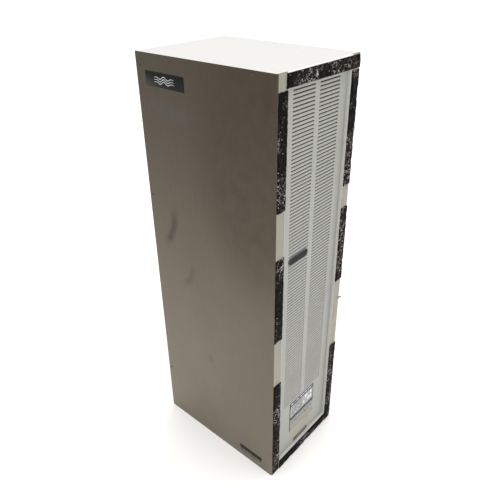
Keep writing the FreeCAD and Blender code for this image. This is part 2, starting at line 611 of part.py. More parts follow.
evaporator_middle = coil("evaporator", EVAPORATOR, "evaporator_depth", "evaporator_bottom",
                         "evaporator_pitch", "evaporator_rows")
condenser_middle = coil("condenser", CONDENSER, "condenser_depth", "condenser_bottom",
                        "condenser_pitch", "condenser_rows")

# ---------------------------------------------------------------- cold side

pan_front = f"({PANEL_BACK} + pan_setback)"
pan_end = f"({PANEL_BACK} + pan_setback + pan_depth)"
pan_side = f"({WALL} - panel_thick)"
pan_floor = "(evaporator_bottom - pan_thick)"
pan_outer = block("pan_outer", f"-{pan_side}", pan_side, pan_front, pan_end, pan_floor,
                  f"{pan_floor} + pan_height")
pan_inner = block("pan_inner", f"pan_thick - {pan_side}", f"{pan_side} - pan_thick",
                  f"{pan_front} + pan_thick", f"{pan_end} - pan_thick", "evaporator_bottom",
                  f"{pan_floor} + pan_height")
pan_outlet = rod("pan_outlet", "z", "drain_radius - drain_wall", "pan_thick", "-drain_side", DRAIN_BACK,
                 pan_floor)
keep("drain_pan", cut("drain_pan", pan_outer, [pan_inner, pan_outlet]))
keep("drain_tube", cut("drain_tube", rod("drain_outer", "z", "drain_radius", pan_floor, "-drain_side",
                                         DRAIN_BACK, "0"),
                       [rod("drain_bore", "z", "drain_radius - drain_wall", pan_floor, "-drain_side",
                            DRAIN_BACK, "0")]))

scroll_radius = "(wheel_radius + scroll_gap + scroll_growth/2 + scroll_wall)"
scroll_back = f"({BLOWER_BACK} + scroll_growth/2)"
scroll_half = "(wheel_width/2 + scroll_gap + scroll_wall)"
outlet_end = f"({BLOWER_BACK} + scroll_growth/2 + wheel_radius + scroll_gap + scroll_growth/2 + scroll_wall)"
outlet_start = f"({outlet_end} - outlet_depth)"
scroll_outer = fuse("scroll_outer", [
    rod("scroll_drum", "x", scroll_radius, f"2*{scroll_half}", f"-{scroll_half}", scroll_back,
        "blower_level"),
    block("scroll_duct", f"-{scroll_half}", scroll_half, outlet_start, outlet_end, DECK_TOP,
          "blower_level")])
scroll_inner = fuse("scroll_inner", [
    rod("scroll_hollow", "x", f"{scroll_radius} - scroll_wall", f"2*({scroll_half} - scroll_wall)",
        f"scroll_wall - {scroll_half}", scroll_back, "blower_level"),
    block("duct_hollow", f"scroll_wall - {scroll_half}", f"{scroll_half} - scroll_wall",
          f"{outlet_start} + scroll_wall", f"{outlet_end} - scroll_wall", DECK_TOP, "blower_level")])
scroll_inlets = rod("scroll_inlets", "x", "inlet_radius", f"2*{scroll_half}", f"-{scroll_half}", BLOWER_BACK,
                    "blower_level")
keep("blower_housing", cut("blower_housing", scroll_outer, [scroll_inner, scroll_inlets]))
deck_hole = block("deck_hole", f"scroll_wall - {scroll_half}", f"{scroll_half} - scroll_wall",
                  f"{outlet_start} + scroll_wall", f"{outlet_end} - scroll_wall", "deck_level", DECK_TOP)
keep("blower_deck", cut("blower_deck", block("deck_plate", f"-{pan_side}", pan_side,
                                             f"{PANEL_BACK} + louver_depth + deck_clearance", LINER,
                                             "deck_level", DECK_TOP), [deck_hole]))

motor_start = f"({scroll_half} + scroll_gap)"
wheel_disc = cut("wheel_disc", rod("wheel_plate", "x", "wheel_radius", "blade_thick*2", "-blade_thick",
                                   BLOWER_BACK, "blower_level"),
                 [rod("wheel_bore", "x", "shaft_radius", "blade_thick*2", "-blade_thick", BLOWER_BACK,
                      "blower_level")])
wheel_parts = [wheel_disc]
for number in range(int(value("wheel_blades"))):
    blade = doc.addObject("Part::Box", f"wheel_blade{number}")
    turn = FreeCAD.Rotation(Vector(1, 0, 0), 360.0 * number / value("wheel_blades"))
    blade.Placement.Rotation = turn
    corner = turn.multVec(Vector(0, value("wheel_radius - blade_depth"), 0))
    bind(blade, Length="wheel_width", Width="blade_depth", Height="blade_thick")
    bind(blade, Placement__Base__x="-wheel_width/2",
         Placement__Base__y=f"{BLOWER_BACK} + {corner.y:.4f}",
         Placement__Base__z=f"blower_level + {corner.z:.4f}")
    wheel_parts.append(blade)
for name, start in (("left", "-wheel_width/2"), ("right", "wheel_width/2 - blade_thick*2")):
    rim = rod(f"wheel_{name}_rim", "x", "wheel_radius", "blade_thick*2", start, BLOWER_BACK, "blower_level")
    eye = rod(f"wheel_{name}_eye", "x", "wheel_radius - blade_depth", "blade_thick*2", start, BLOWER_BACK,
              "blower_level")
    wheel_parts.append(cut(f"wheel_{name}_ring", rim, [eye]))
blower_shaft = rod("blower_shaft", "x", "shaft_radius",
                   f"{motor_start} + blower_motor_length/2 + shaft_radius", "-shaft_radius", BLOWER_BACK,
                   "blower_level")
keep("blower_wheel", group("blower_wheel", [fuse("wheel_body", wheel_parts), blower_shaft]))
keep("blower_motor", cut("blower_motor", rod("blower_can", "x", "blower_motor_radius", "blower_motor_length",
                                             motor_start, BLOWER_BACK, "blower_level"),
                         [rod("blower_bearing", "x", "shaft_radius + running_gap",
                              "blower_motor_length/2 + shaft_radius", motor_start, BLOWER_BACK,
                              "blower_level")]))
mount_x = f"({motor_start} + blower_motor_length/2)"
motor_plate = block("motor_plate", mount_x, f"{mount_x} + bracket_thick",
                    f"{BLOWER_BACK} - blower_motor_radius - bracket_width/2",
                    f"{BLOWER_BACK} + blower_motor_radius + bracket_width/2", DECK_TOP,
                    "blower_level + blower_motor_radius + bracket_width/2")
motor_foot = block("motor_foot", mount_x, f"{mount_x} + bracket_width",
                   f"{BLOWER_BACK} - blower_motor_radius - bracket_width/2",
                   f"{BLOWER_BACK} + blower_motor_radius + bracket_width/2", DECK_TOP,
                   f"{DECK_TOP} + bracket_thick")
motor_seat = rod("motor_seat", "x", "blower_motor_radius", "bracket_thick", mount_x, BLOWER_BACK,
                 "blower_level")
keep("blower_bracket", cut("blower_bracket", fuse("motor_angle", [motor_plate, motor_foot]), [motor_seat]))

# ---------------------------------------------------------------- hot side

baffle_window = block("baffle_window", f"-{COIL} - end_plate_thick", f"{COIL} + end_plate_thick",
                      f"{CONDENSER} + condenser_depth", f"{CONDENSER} + condenser_depth + baffle_thick",
                      "condenser_bottom", "condenser_bottom + condenser_rows*condenser_pitch")
baffle_sheet = block("baffle_sheet", f"-{WALL}", WALL, f"{CONDENSER} + condenser_depth",
                     f"{CONDENSER} + condenser_depth + baffle_thick", "condenser_bottom - baffle_edge",
                     "condenser_bottom + condenser_rows*condenser_pitch + baffle_edge")
keep("condenser_baffle", cut("condenser_baffle", baffle_sheet, [baffle_window]))

shroud_plate = block("shroud_plate", f"-{WALL}", WALL, SHROUD, f"{SHROUD} + shroud_thick",
                     "fan_level - fan_radius - tip_gap - shroud_edge",
                     "fan_level + fan_radius + tip_gap + shroud_edge")
shroud_ring = rod("shroud_ring", "y", "fan_radius + tip_gap + shroud_thick", f"{BACK_INSIDE} - {SHROUD}", "0",
                  SHROUD, "fan_level")
shroud_throat = rod("shroud_throat", "y", "fan_radius + tip_gap", f"{BACK_INSIDE} - {SHROUD}", "0", SHROUD,
                    "fan_level")
keep("fan_shroud", cut("fan_shroud", fuse("shroud_body", [shroud_plate, shroud_ring]), [shroud_throat]))

fan_front = f"({BACK_INSIDE} - guard_wire*2 - fan_depth)"
hub_radius = value("fan_hub")
tip_radius = value("fan_radius")
hub = rod("fan_hub_drum", "y", "fan_hub", "fan_depth*hub_share", "0", fan_front, "fan_level")


def blade_section(radius, chord, pitch_angle):
    """Return the closed outline of a fan blade at one radius."""
    along = Vector(math.cos(pitch_angle), math.sin(pitch_angle), 0)
    across = Vector(-math.sin(pitch_angle), math.cos(pitch_angle), 0)
    centre = Vector(0, value(fan_front) + value("fan_depth") / 2, value("fan_level") + radius)
    half = value("blade_thick")
    corners = [centre + along * (chord / 2 * u) + across * (half * v)
               for u, v in ((-1, -1), (1, -1), (1, 1), (-1, 1))]
    return Part.makePolygon(corners + corners[:1])


def fan_shape():
    """Return the twisted blades, joined to the hub."""
    depth = value("fan_depth")
    root = blade_section(hub_radius - value("blade_root"), depth * value("root_chord"), ROOT_PITCH)
    tip = blade_section(tip_radius - value("blade_root"), depth * value("tip_chord"), TIP_PITCH)
    blade = Part.makeLoft([root, tip], True, True)
    centre = Vector(0, 0, value("fan_level"))
    count = int(value("fan_blades"))
    blades = []
    for number in range(count):
        turned = blade.copy()
        turned.rotate(centre, Vector(0, 1, 0), 360.0 * number / count)
        blades.append(turned)
    return blades


doc.recompute()
fan_blades = []
for number, shape in enumerate(fan_shape()):
    blade = doc.addObject("Part::Feature", f"fan_blade{number}")
    blade.Shape = shape
    fan_blades.append(blade)
fan_motor_end = f"({SHROUD} - bracket_thick)"
fan_bore = rod("fan_bore", "y", "shaft_radius", "fan_depth", "0", fan_front, "fan_level")
fan_shaft_start = f"({fan_motor_end} - fan_motor_length/2)"
fan_shaft = rod("fan_shaft", "y", "shaft_radius",
                f"{fan_front} + fan_depth*hub_share - {fan_shaft_start}", "0",
                fan_shaft_start, "fan_level")
fan_body = cut("fan_body", fuse("fan_wheel", [hub] + fan_blades), [fan_bore])
keep("condenser_fan", group("condenser_fan", [fan_body, fan_shaft]))
keep("fan_motor", cut("fan_motor", rod("fan_can", "y", "fan_motor_radius", "fan_motor_length", "0",
                                       f"{fan_motor_end} - fan_motor_length", "fan_level"),
                      [rod("fan_bearing", "y", "shaft_radius + running_gap", "fan_motor_length/2", "0",
                           fan_shaft_start, "fan_level")]))
bars = [block(f"fan_bar_{name}", f"{hand}*fan_motor_radius*bar_share - bracket_width/2",
              f"{hand}*fan_motor_radius*bar_share + bracket_width/2", fan_motor_end, SHROUD,
              "fan_level - fan_radius - tip_gap - shroud_edge/2",
              "fan_level + fan_radius + tip_gap + shroud_edge/2")
        for name, hand in (("left", "-1"), ("right", "1"))]
keep("fan_bracket", group("fan_bracket", bars))

guard_back = f"({BACK} - guard_wire)"
reach = "(fan_radius + tip_gap - guard_wire)"
guard_parts = []
for number in range(int(value("guard_rings"))):
    ring = doc.addObject("Part::Torus", f"guard_ring{number}")
    ring.Placement.Rotation = TURNS["y"]
    bind(ring, Radius1=f"{reach}*{number + 1}/guard_rings", Radius2="guard_wire")
    guard_parts.append(place(ring, "0", guard_back, "fan_level"))
wire_reach = f"({reach} + guard_wire/2)"
guard_parts.append(rod("guard_across", "x", "guard_wire", f"2*{wire_reach}", f"-{wire_reach}", guard_back,
                       "fan_level"))
guard_parts.append(rod("guard_upright", "z", "guard_wire", f"2*{wire_reach}", "0", guard_back,
                       f"fan_level - {wire_reach}"))
keep("fan_guard", fuse("fan_guard", guard_parts))

# ---------------------------------------------------------------- compressor and pipes

def domed_can(label, x, y, radius, bottom, height, dome):
    """Make an upright steel can with rounded ends."""
    body = new_body(label)
    place(body, x, y, "0")
    sketch = sketch_on(body, "XY_Plane", "round", bottom)
    add_circle(sketch, "0", "0", radius)
    can = pad(body, sketch, height)
    doc.recompute()
    rims = [f"Edge{index}" for index, edge in enumerate(can.Shape.Edges, start=1)
            if edge.Curve.TypeId == "Part::GeomCircle"]
    fillet = body.newObject("PartDesign::Fillet", f"{label}_dome")
    fillet.Base = (can, rims)
    bind(fillet, Radius=dome)
    return body


compressor = domed_can("compressor", "compressor_side", "compressor_back", "compressor_radius",
                       "compressor_lift", "compressor_height", "compressor_dome")
feet_level = "compressor_lift - foot_thick"
feet_disc = sketch_on(compressor, "XY_Plane", "feet_disc", feet_level)
add_circle(feet_disc, "0", "0", "compressor_radius*0.8")
pad(compressor, feet_disc, "foot_thick")
foot = sketch_on(compressor, "XY_Plane", "foot", feet_level)
add_outline(foot, rectangle("0", "foot_radius + foot_wide/2", "-foot_wide/2", "foot_wide/2"))
foot_pad = pad(compressor, foot, "foot_thick")
foot_hole = sketch_on(compressor, "XY_Plane", "foot_hole", feet_level)
add_circle(foot_hole, "foot_radius", "0", "stud_radius")
foot_cut = pierce(compressor, foot_hole)
feet = compressor.newObject("PartDesign::PolarPattern", "compressor_feet")
feet.Originals = [foot_pad, foot_cut]
feet.Axis = (next(feature for feature in compressor.Origin.OriginFeatures if feature.Role == "Z_Axis"), [""])
feet.Angle = 360
feet.Occurrences = len(stud_spots)
compressor.Tip = feet
port = sketch_on(compressor, "XY_Plane", "port", "compressor_lift + compressor_height/2")
add_circle(port, "0", "0", "line_radius*1.4")
pad(compressor, port, "compressor_height/2 + port_length")
compressor_top = "(compressor_lift + compressor_height + port_length)"

feet_grommets = []
studs = []
for number, (stud_x, stud_y) in enumerate(stud_spots):
    pad_height = f"compressor_lift - foot_thick - {FLOOR}"
    rubber = rod(f"foot_rubber{number}", "z", "foot_grommet", pad_height, stud_x, stud_y, FLOOR)
    hole = rod(f"foot_bore{number}", "z", "stud_radius", pad_height, stud_x, stud_y, FLOOR)
    feet_grommets.append(cut(f"foot_grommet{number}", rubber, [hole]))
    stud = rod(f"stud{number}", "z", "stud_radius", "compressor_lift + nut_high", stud_x, stud_y, "0")
    nut = doc.addObject("Part::Prism", f"nut{number}")
    nut.Polygon = 6
    bind(nut, Circumradius="stud_radius*2", Height="nut_high")
    place(nut, stud_x, stud_y, "compressor_lift")
    studs.append(fuse(f"stud_and_nut{number}", [stud, nut]))
keep("compressor_grommets", group("compressor_grommets", feet_grommets))
keep("compressor_studs", group("compressor_studs", studs))

accumulator_x = "(compressor_side - accumulator_side)"
domed_can("accumulator", accumulator_x, "compressor_back", "accumulator_radius", "accumulator_bottom",
          "accumulator_height", "accumulator_dome")
accumulator_top = "accumulator_bottom + accumulator_height"
coil_end = f"({COIL} + end_plate_thick)"
cold_suction = tube("cold_suction", [(f"-{coil_end}", evaporator_middle, SUCTION_LEVEL),
                                     (f"-{PIPES}", evaporator_middle, SUCTION_LEVEL),
                                     (f"-{PIPES}", "compressor_back", SUCTION_LEVEL),
                                     (f"-{PIPES}", "compressor_back", "suction_rise"),
                                     (accumulator_x, "compressor_back", "suction_rise"),
                                     (accumulator_x, "compressor_back", accumulator_top)],
                    "line_radius", "line_bend")
elbow_level = "accumulator_bottom - 2*line_bend"
short_suction = tube("short_suction", [(accumulator_x, "compressor_back", "accumulator_bottom"),
                                       (accumulator_x, "compressor_back", elbow_level),
                                       ("compressor_side - compressor_radius", "compressor_back",
                                        elbow_level)],
                     "line_radius", "line_bend")
keep("suction_line", group("suction_line", [cold_suction, short_suction]))
discharge_level = "(condenser_bottom + (condenser_rows - 0.5)*condenser_pitch)"
keep("discharge_line", tube("discharge_line", [("compressor_side", "compressor_back", compressor_top),
                                               ("compressor_side", "compressor_back", "discharge_rise"),
                                               (PIPES, "compressor_back", "discharge_rise"),
                                               (PIPES, "compressor_back", discharge_level),
                                               (PIPES, condenser_middle, discharge_level),
                                               (coil_end, condenser_middle, discharge_level)],
                            "line_radius", "line_bend"))
liquid_level = "(condenser_bottom + 0.5*condenser_pitch)"
keep("liquid_line", tube("liquid_line", [(coil_end, condenser_middle, liquid_level),
                                         (PIPES, condenser_middle, liquid_level),
                                         (PIPES, condenser_middle, "drier_top")],
                         "liquid_radius", "line_bend"))
keep("filter_drier", fuse("filter_drier", [
    cone("drier_lower", "z", "liquid_radius", "drier_radius", "drier_cone", PIPES, condenser_middle,
         "drier_bottom"),
    rod("drier_can", "z", "drier_radius", "drier_top - drier_bottom - 2*drier_cone", PIPES,
        condenser_middle, "drier_bottom + drier_cone"),
    cone("drier_upper", "z", "drier_radius", "liquid_radius", "drier_cone", PIPES, condenser_middle,
         "drier_top - drier_cone")]))
capillary_rise = f"({LINER} - capillary_front)"
capillary_end = "(evaporator_bottom + 0.5*evaporator_pitch)"
keep("capillary_tube", tube("capillary_tube", [(PIPES, condenser_middle, "drier_bottom"),
                                               (PIPES, condenser_middle, "capillary_level"),
                                               (PIPES, capillary_rise, "capillary_level"),
                                               (PIPES, capillary_rise, capillary_end),
                                               (PIPES, evaporator_middle, capillary_end),
                                               (coil_end, evaporator_middle, capillary_end)],
                            "capillary_radius", "capillary_bend"))

# ---------------------------------------------------------------- air filter

filter_start = f"(filter_end_gap - {INSIDE})"
filter_top = "(filter_bottom + filter_height)"
filter_outer = block("filter_outer", filter_start, SIDE, FILTER_FRONT, FILTER_BACK, "filter_bottom",
                     filter_top)
filter_window = block("filter_window", f"{filter_start} + filter_edge", f"{SIDE} - filter_edge", FILTER_FRONT,
                      FILTER_BACK, "filter_bottom + filter_edge", f"{filter_top} - filter_edge")
filter_pull = block("filter_pull", f"{SIDE} - filter_edge*pull_wide", SIDE,
                    f"{FILTER_FRONT} + filter_thick*pull_inset",
                    f"{FILTER_BACK} - filter_thick*pull_inset", "filter_bottom + filter_height*pull_start",
                    "filter_bottom + filter_height*pull_end")
keep("filter_frame", cut("filter_frame", filter_outer, [filter_window, filter_pull]))
keep("filter_mesh", block("filter_mesh", f"{filter_start} + filter_edge", f"{SIDE} - filter_edge",
                          f"{FILTER_FRONT} + filter_thick*mesh_inset",
                          f"{FILTER_BACK} - filter_thick*mesh_inset",
                          "filter_bottom + filter_edge", f"{filter_top} - filter_edge"))
rails = []
for name, web, lip in (("lower", "filter_bottom - filter_gap - rail_wall", "filter_bottom + rail_depth"),
                       ("upper", f"{filter_top} + filter_gap + rail_wall", f"{filter_top} - rail_depth")):
    low, high = (web, lip) if name == "lower" else (lip, web)
    inner_low = f"{web} + rail_wall" if name == "lower" else low
    inner_high = high if name == "lower" else f"{web} - rail_wall"
    channel = block(f"{name}_channel", f"-{INSIDE}", INSIDE, f"{FILTER_FRONT} - filter_gap - rail_wall",
                    BACK_INSIDE, low, high)
    groove = block(f"{name}_groove", f"-{INSIDE}", INSIDE, f"{FILTER_FRONT} - filter_gap",
                   f"{FILTER_BACK} + filter_gap", inner_low, inner_high)
    rails.append(cut(f"{name}_rail", channel, [groove]))
keep("filter_rails", group("filter_rails", rails))

# ---------------------------------------------------------------- control box

box_end = f"({BOX_BACK} + box_depth)"
box_floor = "(box_bottom + box_thick)"
box_wall = f"({BOX_BACK} + box_thick)"
box_outer = block("box_outer", f"-{BOX}", BOX, BOX_BACK, box_end, "box_bottom",
                  "box_bottom + box_height")
box_inner = block("box_inner", f"box_thick - {BOX}", f"{BOX} - box_thick", box_wall, box_end, box_floor,
                  "box_bottom + box_height - box_thick")
keep("control_box", cut("control_box", box_outer, [box_inner]))
keep("control_box_cover", block("control_box_cover", f"-{BOX}", BOX, box_end,
                                f"{box_end} + box_thick", "box_bottom", "box_bottom + box_height"))

contactor_top = f"({box_floor} + contactor_height)"
contactor_front = f"({box_wall} + contactor_front)"
contactor_back = f"({contactor_front} + contactor_depth/2)"
contactor_case = block("contactor_case", "-contactor_side - contactor_width/2",
                       "contactor_width/2 - contactor_side", contactor_front,
                       f"{contactor_front} + contactor_depth", box_floor, contactor_top)
well = block("contactor_well", "-contactor_side - plunger_width/2 - plunger_gap",
             "plunger_width/2 + plunger_gap - contactor_side",
             f"{contactor_back} - plunger_width/2 - plunger_gap",
             f"{contactor_back} + plunger_width/2 + plunger_gap",
             f"{contactor_top} - plunger_length", contactor_top)
keep("contactor", cut("contactor", contactor_case, [well]))
keep("contactor_plunger", block("contactor_plunger", "-contactor_side - plunger_width/2",
                                "plunger_width/2 - contactor_side", f"{contactor_back} - plunger_width/2",
                                f"{contactor_back} + plunger_width/2",
                                f"{contactor_top} + plunger_out - plunger_length",
                                f"{contactor_top} + plunger_out"))
capacitor_back = f"({box_wall} + strap_thick + capacitor_radius)"
keep("run_capacitor", rod("run_capacitor", "z", "capacitor_radius", "capacitor_height", "-capacitor_side",
                          capacitor_back, box_floor))
strap_level = f"({box_floor} + capacitor_height/2)"
strap_ring = rod("strap_ring", "z", "capacitor_radius + strap_thick", "strap_width", "-capacitor_side",
                 capacitor_back, strap_level)
strap_tab = block("strap_tab", "-capacitor_side - strap_reach*capacitor_radius",
                  "strap_reach*capacitor_radius - capacitor_side", box_wall, f"{box_wall} + strap_thick",
                  strap_level, f"{strap_level} + strap_width")
strap_bore = rod("strap_bore", "z", "capacitor_radius", "strap_width", "-capacitor_side", capacitor_back,
                 strap_level)
keep("capacitor_strap", cut("capacitor_strap", fuse("strap", [strap_ring, strap_tab]), [strap_bore]))
terminal_pitch = "(terminal_width/terminal_ways)"
terminal_base = block("terminal_base", TERMINALS, f"{TERMINALS} + terminal_width", contactor_front,
                      f"{contactor_front} + terminal_depth", box_floor, f"{box_floor} + terminal_height")
wells = [rod(f"terminal_well{way}", "z", "terminal_width/terminal_ways*0.3", "terminal_height/2",
             f"{TERMINALS} + {way + 0.5}*{terminal_pitch}", f"{contactor_front} + terminal_depth/2",
             f"{box_floor} + terminal_height/2") for way in range(int(value("terminal_ways")))]
keep("terminal_block", cut("terminal_block", terminal_base, wells))
thermostat_end = f"({box_wall} + thermostat_depth)"
knob_level = "(thermostat_level + thermostat_height/2)"
thermostat_case = block("thermostat_case", "thermostat_side - thermostat_width/2",
                        "thermostat_side + thermostat_width/2", box_wall, thermostat_end, "thermostat_level",
                        "thermostat_level + thermostat_height")
spindle = rod("thermostat_spindle", "y", "knob_bore", "knob_length*spindle_share",
              "thermostat_side", thermostat_end,
              knob_level)
keep("thermostat", fuse("thermostat", [thermostat_case, spindle]))
knob_start = f"({thermostat_end} + plunger_gap)"
knob_round = rod("knob_round", "y", "knob_radius", "knob_length", "thermostat_side", knob_start, knob_level)
knob_ridge = block("knob_ridge", "thermostat_side - knob_pointer/2", "thermostat_side + knob_pointer/2",
                   knob_start, f"{knob_start} + knob_length", knob_level,
                   f"{knob_level} + knob_radius + knob_pointer")
knob_hole = rod("knob_hole", "y", "knob_bore + running_gap", "knob_length*bore_share", "thermostat_side",
                knob_start, knob_level)
keep("thermostat_knob", cut("thermostat_knob", fuse("knob", [knob_round, knob_ridge]), [knob_hole]))

# ---------------------------------------------------------------- check and write

doc.recompute()
for item in doc.Objects:
    if "Invalid" in item.State or "Error" in item.State:
        raise RuntimeError(f"{item.Label} did not build: {item.State}")
for label, item in nodes.items():
    if item.Shape.isNull() or not item.Shape.isValid() or not item.Shape.Solids:
        raise RuntimeError(f"{label} has no valid solid")
os.makedirs("parts", exist_ok=True)
for label, item in nodes.items():
    item.Shape.exportStep(os.path.join("parts", label + ".step"))
    box = item.Shape.BoundBox
    print(f"{label}: {len(item.Shape.Solids)} solid(s), x {box.XMin:.1f} to {box.XMax:.1f}, "
          f"y {box.YMin:.1f} to {box.YMax:.1f}, z {box.ZMin:.1f} to {box.ZMax:.1f}")
print(f"{len(nodes)} nodes")
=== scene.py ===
"""Looks of a side-mount enclosure air conditioner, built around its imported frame.

Every size is in metres and every place comes from the frame's own boxes. Each sub-assembly is a
class that holds its sizes, each finish is a frozen dataclass, and Geometry Nodes make what repeats.
"""
import sys
import logging
import math
from dataclasses import dataclass, field
from enum import Enum
from typing import Any

import bmesh
import bpy
from mathutils import Matrix, Quaternion, Vector, noise


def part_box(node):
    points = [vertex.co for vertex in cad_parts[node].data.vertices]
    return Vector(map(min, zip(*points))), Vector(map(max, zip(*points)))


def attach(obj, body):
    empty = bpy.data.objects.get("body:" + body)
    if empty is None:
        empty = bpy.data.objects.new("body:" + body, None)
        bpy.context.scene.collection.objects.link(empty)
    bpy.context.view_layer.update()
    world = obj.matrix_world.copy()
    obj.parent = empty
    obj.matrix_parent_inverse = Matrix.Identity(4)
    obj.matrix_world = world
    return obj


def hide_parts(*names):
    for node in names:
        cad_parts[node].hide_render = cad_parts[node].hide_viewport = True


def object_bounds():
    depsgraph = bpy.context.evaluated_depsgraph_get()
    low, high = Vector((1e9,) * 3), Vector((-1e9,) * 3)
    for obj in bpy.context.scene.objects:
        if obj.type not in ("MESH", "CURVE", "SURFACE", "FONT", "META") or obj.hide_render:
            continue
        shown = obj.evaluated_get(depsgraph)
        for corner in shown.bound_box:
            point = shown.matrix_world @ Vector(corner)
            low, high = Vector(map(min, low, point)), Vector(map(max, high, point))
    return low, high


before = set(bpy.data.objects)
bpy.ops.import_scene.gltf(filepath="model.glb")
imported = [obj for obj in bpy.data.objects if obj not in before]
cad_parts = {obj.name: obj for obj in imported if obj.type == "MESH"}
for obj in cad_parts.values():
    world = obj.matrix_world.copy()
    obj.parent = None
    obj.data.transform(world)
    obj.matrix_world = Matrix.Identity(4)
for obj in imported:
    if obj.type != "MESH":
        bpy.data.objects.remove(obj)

LOG = logging.getLogger("air_conditioner")
CAD_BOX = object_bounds()
WELD = 1e-5
WALL = 0.0005
ENDLESS = 1e3

Colour = tuple[float, float, float, float]
Socket = bpy.types.NodeSocket


class Body(Enum):
    """The bodies that the new pieces ride on."""

    CABINET = "cabinet"
    FILTER = "filter_cassette"


class Side(Enum):
    """The face of the cabinet that a flat piece lies on, by its outward direction."""

    LEFT = (-1.0, 0.0, 0.0)
    FRONT = (0.0, -1.0, 0.0)

    def point(self, across: float, up: float, out: float) -> Vector:
        """Return a place from its distance across, its level and its place along the outward axis."""
        return Vector((across, out, up)) if self is Side.FRONT else Vector((out, across, up))

    def outward(self) -> Vector:
        """Return the outward direction."""
        return Vector(self.value)


def tone(code: str) -> Colour:
    """Return a hex colour as linear red, green, blue and alpha.

    Args:
        code: Six hex digits.

    Returns:
        The linear colour.
    """
    parts = [int(code[start:start + 2], 16) / 255 for start in (0, 2, 4)]
    red, green, blue = [part / 12.92 if part <= 0.04045 else ((part + 0.055) / 1.055) ** 2.4
                        for part in parts]
    return red, green, blue, 1.0


# ---------------------------------------------------------------- node trees


class Graph:
    """Adds and joins the nodes of one material, world or geometry tree."""

    def __init__(self, tree: bpy.types.NodeTree) -> None:
        """Keep the tree and empty it."""
        self.tree = tree
        self.tree.nodes.clear()

    def add(self, kind: str, inputs: dict[str | int, Any] | None = None, **settings: Any) -> bpy.types.Node:
        """Add one node.

        Args:
            kind: The node's type.
            inputs: Values, or sockets to join, by the input's name or number.
            **settings: Values of the node's own properties.

        Returns:
            The new node.
        """
        node = self.tree.nodes.new(kind)
        for name, setting in settings.items():
            setattr(node, name, setting)
        for name, given in (inputs or {}).items():
            if isinstance(given, bpy.types.NodeSocket):
                self.tree.links.new(given, node.inputs[name])
            else:
                node.inputs[name].default_value = given
        return node


